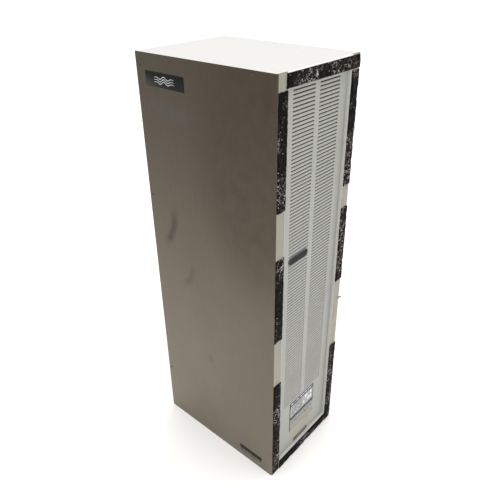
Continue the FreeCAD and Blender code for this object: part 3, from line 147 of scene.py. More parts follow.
class ShaderGraph(Graph):
    """A material's nodes, which read the object's own coordinates."""

    def __init__(self, tree: bpy.types.NodeTree) -> None:
        """Empty the tree and split the coordinates.

        Args:
            tree: The material's node tree.
        """
        super().__init__(tree)
        self.place = self.add("ShaderNodeTexCoord").outputs["Object"]
        self.x, self.y, self.z = self.add("ShaderNodeSeparateXYZ", {"Vector": self.place}).outputs

    def calc(self, operation: str, first: Any, second: Any = 0.0) -> Socket:
        """Return the result of one sum on two numbers."""
        return self.add("ShaderNodeMath", {0: first, 1: second}, operation=operation).outputs[0]

    def fade(self, given: Any, low: float, high: float) -> Socket:
        """Return a smooth step from 0 at low to 1 at high."""
        inputs = {"Value": given, "From Min": low, "From Max": high}
        return self.add("ShaderNodeMapRange", inputs, interpolation_type="SMOOTHSTEP").outputs[0]

    def spread(self, given: Any, low: float, high: float) -> Socket:
        """Return a share of 0 to 1 spread from low to high."""
        return self.add("ShaderNodeMapRange", {"Value": given, "To Min": low, "To Max": high}).outputs[0]

    def noise(self, scale: float, detail: float = 3.0, stretch: tuple[float, float, float] = (1, 1, 1),
              shift: tuple[float, float, float] = (0, 0, 0), distortion: float = 0.0) -> Socket:
        """Return a noise of 0 to 1.

        Args:
            scale: Features to the metre.
            detail: How many finer layers it has.
            stretch: How much closer the features lie along each axis.
            shift: An offset that makes one noise differ from another.
            distortion: How far the features swirl.

        Returns:
            The noise's output.
        """
        place = self.add("ShaderNodeMapping", {"Vector": self.place, "Location": shift, "Scale": stretch})
        inputs = {"Vector": place.outputs[0], "Scale": scale, "Detail": detail, "Distortion": distortion}
        return self.add("ShaderNodeTexNoise", inputs).outputs[0]

    def cells(self, scale: float, feature: str = "F1", wobble: float = 0.0) -> Socket:
        """Return the distance pattern of scattered cells.

        Args:
            scale: Cells to the metre.
            feature: Which distance is wanted.
            wobble: How far, in metres, a noise moves the cells' borders.

        Returns:
            The distance output.
        """
        place = self.place
        if wobble:
            swirl = self.add("ShaderNodeTexNoise", {"Vector": self.place, "Scale": scale, "Detail": 3.0})
            inputs = {0: swirl.outputs["Color"], 1: (wobble,) * 3, 2: self.place}
            place = self.add("ShaderNodeVectorMath", inputs, operation="MULTIPLY_ADD").outputs[0]
        node = self.add("ShaderNodeTexVoronoi", {"Vector": place, "Scale": scale}, feature=feature)
        return node.outputs["Distance"]

    def oval(self, centre: tuple[float, float, float], radii: tuple[float, float, float], tilt: float = 0.0,
             soft: float = 0.5) -> Socket:
        """Return a mask that is 1 inside an oval and fades out at its rim.

        Args:
            centre: The oval's middle.
            radii: Its half sizes, where a very large one means that the axis doesn't count.
            tilt: Its turn about X, in degrees.
            soft: The share of its radius over which it fades.

        Returns:
            The mask's output.
        """
        inputs = {"Vector": self.place, "Location": centre, "Rotation": (math.radians(tilt), 0, 0),
                  "Scale": radii}
        place = self.add("ShaderNodeMapping", inputs, vector_type="TEXTURE").outputs[0]
        reach = self.add("ShaderNodeVectorMath", {0: place}, operation="LENGTH").outputs["Value"]
        return self.fade(reach, 1.0, 1.0 - soft)

    def mix(self, share: Any, first: Any, second: Any) -> Socket:
        """Return a colour between two colours."""
        return self.add("ShaderNodeMix", {0: share, 6: first, 7: second}, data_type="RGBA").outputs[2]

    def bump(self, height: Any, distance: float, normal: Socket | None = None) -> Socket:
        """Return a normal that is tilted by a height map, on top of another normal if one is given.

        Args:
            height: The height map.
            distance: Its depth in metres.
            normal: The normal under it, or None for the plain surface.

        Returns:
            The tilted normal's output.
        """
        inputs: dict[str | int, Any] = {"Height": height, "Distance": distance}
        if normal is not None:
            inputs["Normal"] = normal
        return self.add("ShaderNodeBump", inputs).outputs[0]

    def surface(self, inputs: dict[str | int, Any]) -> None:
        """End the material in a principled shader with these inputs."""
        shader = self.add("ShaderNodeBsdfPrincipled", inputs)
        self.add("ShaderNodeOutputMaterial", {"Surface": shader.outputs[0]})


class Recipe(Graph):
    """A geometry tree with named inputs that is run on a piece and turned into its mesh."""

    def __init__(self, name: str) -> None:
        """Start the tree with its geometry input and output.

        Args:
            name: The tree's name.
        """
        super().__init__(bpy.data.node_groups.new(name, "GeometryNodeTree"))
        for way in ("INPUT", "OUTPUT"):
            self.tree.interface.new_socket("Geometry", in_out=way, socket_type="NodeSocketGeometry")
        self.given = self.add("NodeGroupInput")

    def size(self, name: str, kind: str = "NodeSocketFloat") -> Socket:
        """Add a named input and return its socket."""
        self.tree.interface.new_socket(name, in_out="INPUT", socket_type=kind)
        return self.given.outputs[name]

    def finish(self, geometry: Socket) -> None:
        """End the tree in real geometry with the piece's material.

        Args:
            geometry: The result, which may hold instances.
        """
        real = self.add("GeometryNodeRealizeInstances", {"Geometry": geometry})
        welded = self.add("GeometryNodeMergeByDistance", {"Geometry": real.outputs[0], "Distance": WELD})
        finish = self.size("Material", "NodeSocketMaterial")
        coated = self.add("GeometryNodeSetMaterial", {"Geometry": welded.outputs[0], "Material": finish})
        self.add("NodeGroupOutput", {"Geometry": coated.outputs[0]})

    def bake(self, piece: bpy.types.Object, **sizes: Any) -> bpy.types.Object:
        """Run the tree on a piece with these sizes, and keep the result as its mesh.

        Args:
            piece: The piece that gets the result.
            **sizes: Values for the tree's named inputs.

        Returns:
            The piece.
        """
        modifier = piece.modifiers.new(self.tree.name, "NODES")
        modifier.node_group = self.tree
        for socket in self.tree.interface.items_tree:
            if socket.in_out == "INPUT" and socket.name in sizes:
                modifier[socket.identifier] = sizes[socket.name]
        return settle(piece)


# ---------------------------------------------------------------- mesh tools


def settle(piece: bpy.types.Object) -> bpy.types.Object:
    """Turn a piece's modifiers into its mesh and return the piece.

    Args:
        piece: The piece, with its modifiers.

    Returns:
        The same piece with a plain mesh.
    """
    shape = piece.evaluated_get(bpy.context.evaluated_depsgraph_get())
    old, piece.data = piece.data, bpy.data.meshes.new_from_object(shape)
    piece.modifiers.clear()
    bpy.data.meshes.remove(old)
    return piece


def new_piece(name: str, form: bmesh.types.BMesh, *materials: bpy.types.Material,
              smooth: float | None = None) -> bpy.types.Object:
    """Make an object of a mesh that is already in place.

    Args:
        name: The piece's name.
        form: The mesh, which is freed.
        *materials: Its materials in the order of the faces' numbers.
        smooth: The angle in degrees up to which edges are shaded smooth, or None for flat faces.

    Returns:
        The new object.
    """
    mesh = bpy.data.meshes.new(name)
    form.to_mesh(mesh)
    form.free()
    for material in materials:
        mesh.materials.append(material)
    if smooth is not None:
        mesh.shade_smooth()
        mesh.set_sharp_from_angle(angle=math.radians(smooth))
    piece = bpy.data.objects.new(name, mesh)
    bpy.context.scene.collection.objects.link(piece)
    return piece


def islands(node: str) -> list[tuple[Vector, Vector]]:
    """Return the box of each separate solid in a CAD node, from the lowest up.

    Args:
        node: The CAD node's name.

    Returns:
        Each solid's lowest and highest corner.
    """
    form = bmesh.new()
    form.from_mesh(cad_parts[node].data)
    bmesh.ops.remove_doubles(form, verts=form.verts, dist=WELD)
    left, found = set(form.verts), []
    while left:
        group, edge = set(), [left.pop()]
        while edge:
            vert = edge.pop()
            group.add(vert)
            near = {link.other_vert(vert) for link in vert.link_edges} & left
            left -= near
            edge.extend(near)
        places = [vert.co for vert in group]
        found.append((Vector(map(min, zip(*places))), Vector(map(max, zip(*places)))))
    form.free()
    return sorted(found, key=lambda box: (round(box[0].z, 4), box[0].x))


def rounded(low: tuple[float, float], high: tuple[float, float], radius: float,
            steps: int = 6) -> list[tuple]:
    """Return the outline of a rectangle with round corners.

    Args:
        low: Its lower left corner.
        high: Its upper right corner.
        radius: The corners' radius.
        steps: How many edges each corner has.

    Returns:
        Points across and up, anticlockwise.
    """
    corners = ((high[0], low[1], -90), (high[0], high[1], 0), (low[0], high[1], 90), (low[0], low[1], 180))
    points = []
    for across, up, start in corners:
        centre = (across - math.copysign(radius, across - (low[0] + high[0]) / 2),
                  up - math.copysign(radius, up - (low[1] + high[1]) / 2))
        for step in range(steps + 1):
            angle = math.radians(start + 90 * step / steps)
            points.append((centre[0] + radius * math.cos(angle), centre[1] + radius * math.sin(angle)))
    return points


def plate(side: Side, outline: list[tuple], seat: float, thick: float, rim: float = 0.0, sink: float = 0.0,
          edge: float = 0.0002) -> bmesh.types.BMesh:
    """Build a flat plate that lies on one face of the cabinet.

    Args:
        side: The face that it lies on.
        outline: Its points across and up.
        seat: The place of its back along the outward axis.
        thick: Its thickness.
        rim: The width of a raised rim, whose faces have material 1, or 0 for none.
        sink: How deep the face lies inside the rim.
        edge: The width of the bevel round the front.

    Returns:
        The plate's mesh.
    """
    out = sum(side.value)
    form = bmesh.new()
    face = form.faces.new([form.verts.new(side.point(across, up, seat)) for across, up in outline])
    raised = bmesh.ops.extrude_face_region(form, geom=[face])["geom"]
    for vert in (item for item in raised if isinstance(item, bmesh.types.BMVert)):
        vert.co += side.outward() * thick
    bmesh.ops.recalc_face_normals(form, faces=form.faces)
    front = max(form.faces,
                key=lambda item: side.outward().dot(item.calc_center_median()) + item.calc_area())
    if edge:
        bmesh.ops.bevel(form, geom=list(front.edges), offset=edge, segments=2, profile=0.5, affect="EDGES")
        front = max(form.faces, key=lambda item: out * item.normal.dot(Vector(map(abs, side.value)))
                    + item.calc_area())
    if rim:
        border = bmesh.ops.inset_region(form, faces=[front], thickness=rim)["faces"]
        painted_recess_light = bmesh.ops.inset_region(form, faces=[front], thickness=sink, depth=-sink)["faces"]
        for item in border + painted_recess_light:
            item.material_index = 1
    return form


def slab(form: bmesh.types.BMesh, front: list[list[Vector]], back: list[list[Vector]]) -> None:
    """Add a closed slab between two grids of points.

    Args:
        form: The mesh that gets it.
        front: Rows of points from left to right and from the lowest row up, seen from outside.
        back: The points behind them.
    """
    sheets = [[[form.verts.new(point) for point in row] for row in grid] for grid in (front, back)]
    face, rear = sheets
    high, wide = len(face) - 1, len(face[0]) - 1
    for row in range(high):
        for column in range(wide):
            square = ((row, column), (row, column + 1), (row + 1, column + 1), (row + 1, column))
            form.faces.new([face[up][along] for up, along in square])
            form.faces.new([rear[up][along] for up, along in reversed(square)])
    loop = [(0, column) for column in range(wide)] + [(row, wide) for row in range(high)]
    loop += [(high, column) for column in range(wide, 0, -1)] + [(row, 0) for row in range(high, 0, -1)]
    for here, there in zip(loop, loop[1:] + loop[:1]):
        form.faces.new([rear[here[0]][here[1]], rear[there[0]][there[1]],
                        face[there[0]][there[1]], face[here[0]][here[1]]])


def keep(piece: bpy.types.Object, body: Body, slot: str, *nodes: str) -> None:
    """Make a finished piece ride on its body, hide the nodes that it stands for, and log it.

    Args:
        piece: The finished piece.
        body: The body that carries it.
        slot: Not used.
        *nodes: The CAD nodes that it replaces.
    """
    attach(piece, body.value)
    if nodes:
        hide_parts(*nodes)
    LOG.info("%s: %d faces, rides on %s, stands for %s", piece.name, len(piece.data.polygons), body.value,
             ", ".join(nodes) or "nothing")


# ---------------------------------------------------------------- finishes


@dataclass(frozen=True)
class Finish:
    """A material that is built once and found by its name after that."""

    name: str

    def material(self) -> bpy.types.Material:
        """Return the material, made on first use.

        Returns:
            The material.
        """
        made = bpy.data.materials.get(self.name)
        if made is None:
            made = bpy.data.materials.new(self.name)
            made.use_nodes = True
            self.paint(ShaderGraph(made.node_tree))
        return made

    def paint(self, graph: ShaderGraph) -> None:
        """Build the nodes; each finish has its own."""
        raise NotImplementedError

    def dress(self, *nodes: str) -> None:
        """Put the finish on CAD nodes.

        Args:
            *nodes: Names of CAD nodes.
        """
        for node in nodes:
            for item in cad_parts[node].material_slots:
                item.material = self.material()
            LOG.info("%s: dressed in %s", node, self.name)


@dataclass(frozen=True)
class Smudge:
    """A soft mark on a wide side: an oval, or a crescent where a second oval hollows it."""

    place: tuple[float, float]
    size: tuple[float, float]
    tilt: float = 0.0
    hollow: float = 0.0
    depth: float = 0.3
    colour: str = "3A3530"


@dataclass(frozen=True)
class SatinSteel(Finish):
    """Satin stainless sheet with upright brushing, a painted shade that darkens it towards the top, and
    marks from handling.
    """

    # upper and lower: the painted shade, darker at the top and lighter at the bottom.
    upper: str = "4B4339"
    lower: str = "766E60"
    ends: tuple[float, float] = (0.0, 1.2)
    rough: tuple[float, float] = (0.3, 0.46)
    metallic: float = 0.85
    marks: tuple[Smudge, ...] = ()
    flange: float | None = None
    bare: str = "8B8678"
    painted_recess_light: str = "E4E2DA"
    # A pale tone for the walls of the step behind the flange: painted light that lifts the shade in the
    # recess.
    fold: float = 0.02
    hem: float = 0.0
    skin: tuple[float, float] = (0.0004, 0.0002)
    brush: float = 900.0
    cloud: float = 3.2
    relief: float = 0.00004
    sheen: str = "C9C3B4"
    streak: str = "6F665A"

    def paint(self, graph: ShaderGraph) -> None:
        """Build the brushed sheet with its painted shade, its marks, and its bare flange with painted light
        on the walls of the step behind it.

        Args:
            graph: The material's nodes.
        """
        # Painted shade: the tone runs from the lighter lower colour at the bottom to the darker upper
        # colour at the top, standing in for the floor's light on the steel.
        level = graph.fade(graph.z, *self.ends)
        brushing = graph.noise(self.brush, 2, (1, 1, 0.02))
        cloud = graph.noise(self.cloud, 4, (1, 1, 0.45), distortion=0.6)
        colour = graph.mix(level, tone(self.lower), tone(self.upper))
        colour = graph.mix(graph.spread(graph.fade(cloud, 0.4, 0.75), 0, 0.2), colour, tone(self.upper))
        brushed = graph.spread(graph.fade(brushing, 0.35, 0.8), 0, 0.025)
        colour = graph.mix(brushed, colour, tone(self.sheen))
        for mark in self.marks:
            mask = graph.oval((0, *mark.place), (ENDLESS, *mark.size), mark.tilt, 0.6)
            if mark.hollow:
                shift = Vector((mark.hollow, 0)) @ Matrix.Rotation(math.radians(-mark.tilt), 2)
                inner = graph.oval((0, mark.place[0] + shift.x, mark.place[1] + shift.y),
                                   (ENDLESS, *mark.size), mark.tilt, 0.5)
                mask = graph.calc("MULTIPLY", mask, graph.calc("SUBTRACT", 1.0, inner))
            patchy = graph.spread(graph.noise(28, 4, shift=(mark.place[0], 0, 0)), 0.3, 1.6)
            mask = graph.calc("MULTIPLY", graph.calc("MULTIPLY", mask, patchy), mark.depth)
            colour = graph.mix(mask, colour, tone(mark.colour))
        metal = self.metallic
        if self.flange is not None:
            face = graph.fade(graph.y, self.flange + self.skin[0], self.flange + self.skin[1])
            # Painted light: the flange's inner walls and the step behind it take the pale recess tone,
            # which lifts the shade that falls in the recess.
            inside = graph.calc("LESS_THAN", graph.calc("ABSOLUTE", graph.x), CAD_BOX[1].x - self.hem)
            fold = graph.calc("LESS_THAN", graph.y, self.flange + self.fold)
            low = graph.calc("GREATER_THAN", graph.z, CAD_BOX[0].z + WALL)
            high = graph.calc("LESS_THAN", graph.z, CAD_BOX[1].z - WALL)
            inner = graph.calc("MULTIPLY", graph.calc("MULTIPLY", inside, fold),
                               graph.calc("MULTIPLY", low, high))
            walls = graph.calc("MULTIPLY", inner, graph.calc("SUBTRACT", 1.0, face))
            face = graph.calc("MAXIMUM", face, inner)
            streaks = graph.fade(graph.noise(60, 5, (1, 1, 0.3), distortion=1.5), 0.52, 0.72)
            paint = graph.mix(graph.spread(streaks, 0, 0.55), tone(self.bare), tone(self.streak))
            colour = graph.mix(face, colour, graph.mix(walls, paint, tone(self.painted_recess_light)))
            metal = graph.spread(face, self.metallic, 0.0)
        grime = graph.noise(55, 5)
        normal = graph.bump(graph.calc("ADD", brushing, graph.calc("MULTIPLY", cloud, 6.0)), self.relief)
        graph.surface({"Base Color": colour, "Metallic": metal, "Normal": normal,
                       "Roughness": graph.spread(grime, *self.rough)})


@dataclass(frozen=True)
class PaintedSheet(Finish):
    """Smooth light paint on sheet metal, with cloudy dust, rusty water stains low down and a painted shade
    on the blades behind the face.
    """

    colour: str = "9A9A95"
    dust: str = "85857E"
    stains: tuple[Smudge, ...] = ()
    rough: tuple[float, float] = (0.3, 0.5)
    # blades: the depths behind the face over which the painted shade on the blades fades in.
    blades: tuple[float, float] = (1.0, 2.0)
    shadow: str = "42413D"
    shadow_share: float = 0.92
    peel: float = 700.0
    peel_depth: float = 0.00003
    dent_depth: float = 0.0006

    def paint(self, graph: ShaderGraph) -> None:
        """Build the paint, its dust, its stains and the painted shade on the blades.

        Args:
            graph: The material's nodes.
        """
        cloud = graph.noise(9, 5, (1, 1, 0.5), distortion=0.8)
        dusty = graph.spread(graph.fade(cloud, 0.45, 0.8), 0, 0.3)
        colour = graph.mix(dusty, tone(self.colour), tone(self.dust))
        specks = graph.fade(graph.cells(140, wobble=0.004), 0.1, 0.06)
        colour = graph.mix(graph.spread(specks, 0, 0.35), colour, tone(self.dust))
        for mark in self.stains:
            mask = graph.oval((mark.place[0], 0, mark.place[1]), (mark.size[0], ENDLESS, mark.size[1]),
                              soft=0.7)
            patchy = graph.fade(graph.noise(60, 5, (1, 1, 0.35), distortion=1.0), 0.4, 0.65)
            mask = graph.calc("MULTIPLY", graph.calc("MULTIPLY", mask, patchy), mark.depth)
            colour = graph.mix(mask, colour, tone(mark.colour))
        # Painted shade: the blades behind the face darken towards the shadow tone, standing in for the
        # shade that the sheet above each slot casts on them.
        inside = graph.spread(graph.fade(graph.y, *self.blades), 0, self.shadow_share)
        colour = graph.mix(inside, colour, tone(self.shadow))
        peel = graph.bump(graph.noise(self.peel, 2), self.peel_depth)
        normal = graph.bump(graph.noise(14, 2), self.dent_depth, peel)
        graph.surface({"Base Color": colour, "Roughness": graph.spread(cloud, *self.rough),
                       "Normal": normal, "Specular IOR Level": 0.45})


@dataclass(frozen=True)
class TornFoam(Finish):
    """Old black foam tape: matt open cells, marbled skin and pale torn flecks."""

    dark: str = "030303"
    skin: str = "191413"
    scuff: str = "453E3B"
    pale: str = "B9B2AA"
    torn: float = 0.58
    marble: float = 40.0
    crack: float = 60.0
    fleck: float = 130.0
    cell: float = 1500.0
    cell_depth: float = 0.0003
    lump_depth: float = 0.0012

    def paint(self, graph: ShaderGraph) -> None:
        """Build the marbling, the flecks and the open cells.

        Args:
            graph: The material's nodes.
        """
        marble = graph.noise(self.marble, 6, distortion=2.0)
        colour = graph.mix(graph.fade(marble, 0.45, 0.62), tone(self.dark), tone(self.skin))
        rubbed = graph.fade(graph.noise(105, 4, shift=(7, 2, 0), distortion=1.4), 0.57, 0.68)
        colour = graph.mix(graph.spread(rubbed, 0, 0.6), colour, tone(self.scuff))
        region = graph.fade(graph.noise(16, 3, shift=(3, 0, 1)), self.torn - 0.12, self.torn + 0.06)
        cracks = graph.fade(graph.cells(self.crack, "DISTANCE_TO_EDGE", 0.014), 0.05, 0.015)
        broken = graph.fade(graph.noise(80, 3, shift=(1, 8, 0)), 0.48, 0.58)
        cracks = graph.calc("MULTIPLY", cracks, broken)
        flecks = graph.fade(graph.noise(self.fleck, 4, distortion=2.0), 0.58, 0.66)
        torn = graph.calc("MULTIPLY", region, graph.calc("MAXIMUM", cracks, flecks))
        colour = graph.mix(graph.spread(torn, 0, 0.9), colour, tone(self.pale))
        normal = graph.bump(graph.cells(self.cell), self.cell_depth, graph.bump(marble, self.lump_depth))
        graph.surface({"Base Color": colour, "Roughness": graph.spread(marble, 0.62, 0.92),
                       "Normal": normal, "Specular IOR Level": 0.08})


@dataclass(frozen=True)
class Metal(Finish):
    """A metal that is plain, plated, galvanised or painted, with grain and tarnish."""

    colour: str = "A9ABAC"
    tarnish: str = "6E6F70"
    share: float = 0.35
    grain: float = 90.0
    stretch: tuple[float, float, float] = (1, 1, 1)
    rough: tuple[float, float] = (0.3, 0.5)
    metallic: float = 0.9
    spangle: float = 0.0
    fine: float = 9.0
    relief: float = 0.00005

    def paint(self, graph: ShaderGraph) -> None:
        """Build the tarnish, the grain and the zinc's crystals.

        Args:
            graph: The material's nodes.
        """
        stain = graph.noise(self.grain, 5, self.stretch)
        mask = graph.spread(graph.fade(stain, 0.42, 0.7), 0, self.share)
        if self.spangle:
            crystals = graph.spread(graph.cells(self.spangle), 0, self.share)
            mask = graph.calc("MAXIMUM", mask, crystals)
        colour = graph.mix(mask, tone(self.colour), tone(self.tarnish))
        normal = graph.bump(graph.noise(self.grain * self.fine, 2, self.stretch), self.relief)
        graph.surface({"Base Color": colour, "Metallic": self.metallic, "Normal": normal,
                       "Roughness": graph.spread(stain, *self.rough)})


@dataclass(frozen=True)
class Moulding(Finish):
    """Moulded plastic or rubber with a fine texture and scuffs."""

    colour: str = "1A1A1B"
    scuff: str = "4A4A4A"
    grain: float = 1400.0
    relief: float = 0.00006
    rough: tuple[float, float] = (0.4, 0.6)
    shine: float = 0.5
    wear: float = 70.0

    def paint(self, graph: ShaderGraph) -> None:
        """Build the texture and the scuffs.

        Args:
            graph: The material's nodes.
        """
        wear = graph.noise(self.wear, 6, distortion=0.8)
        scuffed = graph.spread(graph.fade(wear, 0.5, 0.75), 0, 0.35)
        colour = graph.mix(scuffed, tone(self.colour), tone(self.scuff))
        graph.surface({"Base Color": colour, "Roughness": graph.spread(wear, *self.rough),
                       "Normal": graph.bump(graph.cells(self.grain), self.relief),
                       "Specular IOR Level": self.shine})


@dataclass(frozen=True)
class Band:
    """One printed area of a label, in shares of the label's width and height."""

    left: float
    low: float
    right: float
    high: float
    colour: str
    rows: int = 0
    dashes: float = 24.0


@dataclass(frozen=True)
class PrintedFilm(Finish):
    """A printed film label with blocks and rows of plain dashes, wrinkled and worn."""

    low: tuple[float, float] = (0.0, 0.0)
    high: tuple[float, float] = (1.0, 1.0)
    side: Side = Side.FRONT
    ground: str = "C9CBCB"
    bands: tuple[Band, ...] = ()
    faded: str = "8B8C8A"
    ink: float = 0.97
    gap: float = 0.45
    skip: float = 0.47
    row_shift: float = 37.7
    wrinkle: float = 120.0
    relief: float = 0.0006

    def paint(self, graph: ShaderGraph) -> None:
        """Build the printed areas on the film.

        Args:
            graph: The material's nodes.
        """
        across = graph.x if self.side is Side.FRONT else graph.y
        wide, tall = self.high[0] - self.low[0], self.high[1] - self.low[1]
        right = graph.calc("DIVIDE", graph.calc("SUBTRACT", across, self.low[0]), wide)
        level = graph.calc("DIVIDE", graph.calc("SUBTRACT", graph.z, self.low[1]), tall)
        worn = graph.spread(graph.fade(graph.noise(45, 5), 0.4, 0.7), 0, 0.35)
        colour = graph.mix(worn, tone(self.ground), tone(self.faded))
        for band in self.bands:
            box = [graph.calc("GREATER_THAN", right, band.left), graph.calc("LESS_THAN", right, band.right),
                   graph.calc("GREATER_THAN", level, band.low), graph.calc("LESS_THAN", level, band.high)]
            mask = box[0]
            for limit in box[1:]:
                mask = graph.calc("MULTIPLY", mask, limit)
            if band.rows:
                row = graph.calc("MULTIPLY", graph.calc("SUBTRACT", level, band.low),
                                 band.rows / (band.high - band.low))
                line = graph.calc("GREATER_THAN", graph.calc("FRACT", row), self.gap)
                spot = graph.calc("ADD", graph.calc("MULTIPLY", right, band.dashes),
                                  graph.calc("MULTIPLY", graph.calc("FLOOR", row), self.row_shift))
                dash = graph.add("ShaderNodeTexNoise", {"W": spot, "Scale": 1.0, "Detail": 2.0},
                                 noise_dimensions="1D").outputs[0]
                inked = graph.calc("MULTIPLY", line, graph.calc("GREATER_THAN", dash, self.skip))
                mask = graph.calc("MULTIPLY", mask, inked)
            colour = graph.mix(graph.spread(mask, 0, self.ink), colour, tone(band.colour))
        wrinkle = graph.noise(self.wrinkle, 3, distortion=0.5)
        graph.surface({"Base Color": colour, "Roughness": graph.spread(wrinkle, 0.25, 0.5),
                       "Specular IOR Level": 0.1, "Normal": graph.bump(wrinkle, self.relief)})


# ---------------------------------------------------------------- repeated shapes


def repeat_recipe() -> Recipe:
    """Return a tree that repeats the given shape in a straight row.

    Returns:
        The tree, with the inputs Step, Count and Material.
    """
    recipe = Recipe("repeat_in_a_row")
    shape = recipe.given.outputs["Geometry"]
    step = recipe.size("Step", "NodeSocketVector")
    count = recipe.size("Count", "NodeSocketInt")
    line = recipe.add("GeometryNodeMeshLine", {"Count": count, "Offset": step})
    placed = recipe.add("GeometryNodeInstanceOnPoints", {"Points": line.outputs[0], "Instance": shape})
    recipe.finish(placed.outputs[0])
    return recipe


def scatter_recipe() -> Recipe:
    """Return a tree that scatters small torn lumps over the given surface.

    Returns:
        The tree, with the inputs Lump Size, Density, Seed and Material.
    """
    recipe = Recipe("scatter_lumps")
    surface = recipe.given.outputs["Geometry"]
    size = recipe.size("Lump Size")
    points = recipe.add("GeometryNodeDistributePointsOnFaces",
                        {"Mesh": surface, "Density": recipe.size("Density"),
                         "Seed": recipe.size("Seed", "NodeSocketInt")})
    lump = recipe.add("GeometryNodeMeshIcoSphere", {"Radius": size, "Subdivisions": 1})
    stretch = recipe.add("FunctionNodeRandomValue", {0: (0.35, 0.35, 0.2), 1: (1.6, 1.1, 0.5), "Seed": 4},
                         data_type="FLOAT_VECTOR")
    placed = recipe.add("GeometryNodeInstanceOnPoints",
                        {"Points": points.outputs["Points"], "Instance": lump.outputs[0],
                         "Rotation": points.outputs["Rotation"], "Scale": stretch.outputs[0]})
    recipe.finish(placed.outputs[0])
    return recipe


def fastener_recipe() -> Recipe:
    """Return a tree that sets a head on each point, scaled and turned by the point's own attributes.

    Returns:
        The tree, with the inputs Head and Material.
    """
    recipe = Recipe("set_heads")
    points = recipe.given.outputs["Geometry"]
    head = recipe.add("GeometryNodeObjectInfo", {"Object": recipe.size("Head", "NodeSocketObject")})
    facing = recipe.add("GeometryNodeInputNamedAttribute", {"Name": "facing"}, data_type="FLOAT_VECTOR")
    reach = recipe.add("GeometryNodeInputNamedAttribute", {"Name": "reach"}, data_type="FLOAT")
    turn = recipe.add("FunctionNodeAlignRotationToVector", {"Vector": facing.outputs[0]}, axis="Z")
    placed = recipe.add("GeometryNodeInstanceOnPoints",
                        {"Points": points, "Instance": head.outputs["Geometry"],
                         "Rotation": turn.outputs[0], "Scale": reach.outputs[0]})
    recipe.finish(placed.outputs[0])
    return recipe


# ---------------------------------------------------------------- sub-assemblies


@dataclass
class Cabinet:
    """The sheet-metal case: two wide sides, the top, the base and the back."""

    hem: float = 0.004
    marks: tuple[Smudge, ...] = (
        Smudge((0.150, 0.735), (0.030, 0.075), 22, 0.022, 0.75, "38322C"),
        Smudge((0.090, 0.600), (0.026, 0.060), 30, 0.020, 0.5, "4A443C"),
        Smudge((0.110, 1.065), (0.085, 0.030), 6, 0.0, 0.2, "505358"),
        Smudge((0.020, 0.330), (0.016, 0.020), 0, 0.0, 0.35, "5C4A42"),
        Smudge((-0.160, 0.980), (0.240, 0.420), 0, 0.0, 0.5, "3F372D"),
        Smudge((-0.195, 1.150), (0.022, 0.040), 0, 0.0, 0.5, "40362D"),
    )

    def build(self) -> None:
        """Dress the case's CAD nodes."""
        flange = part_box("left_side_panel")[0].y
        hem = CAD_BOX[1].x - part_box("right_side_panel")[1].x + self.hem
        ends = (CAD_BOX[0].z, CAD_BOX[1].z)
        # Painted reflection: the sides' dark tones stand in for the dark surroundings that the steel
        # reflects.
        SatinSteel("satin_steel_side", marks=self.marks, flange=flange, hem=hem, ends=ends).dress(
            "left_side_panel", "right_side_panel")
        # Painted reflection: the top is the same steel in a near-white tone, standing in for the bright
        # overhead light that it reflects.
        SatinSteel("satin_steel_top", upper="E6E5E2", lower="E6E5E2", flange=flange, hem=hem,
                   metallic=0.35).dress("top_panel")
        SatinSteel("satin_steel_base", upper="8F8674", lower="8F8674", flange=flange,
                   hem=hem).dress("base_pan")
        SatinSteel("satin_steel_back", upper="8B867B", lower="A29C8E", ends=ends).dress("back_cover")


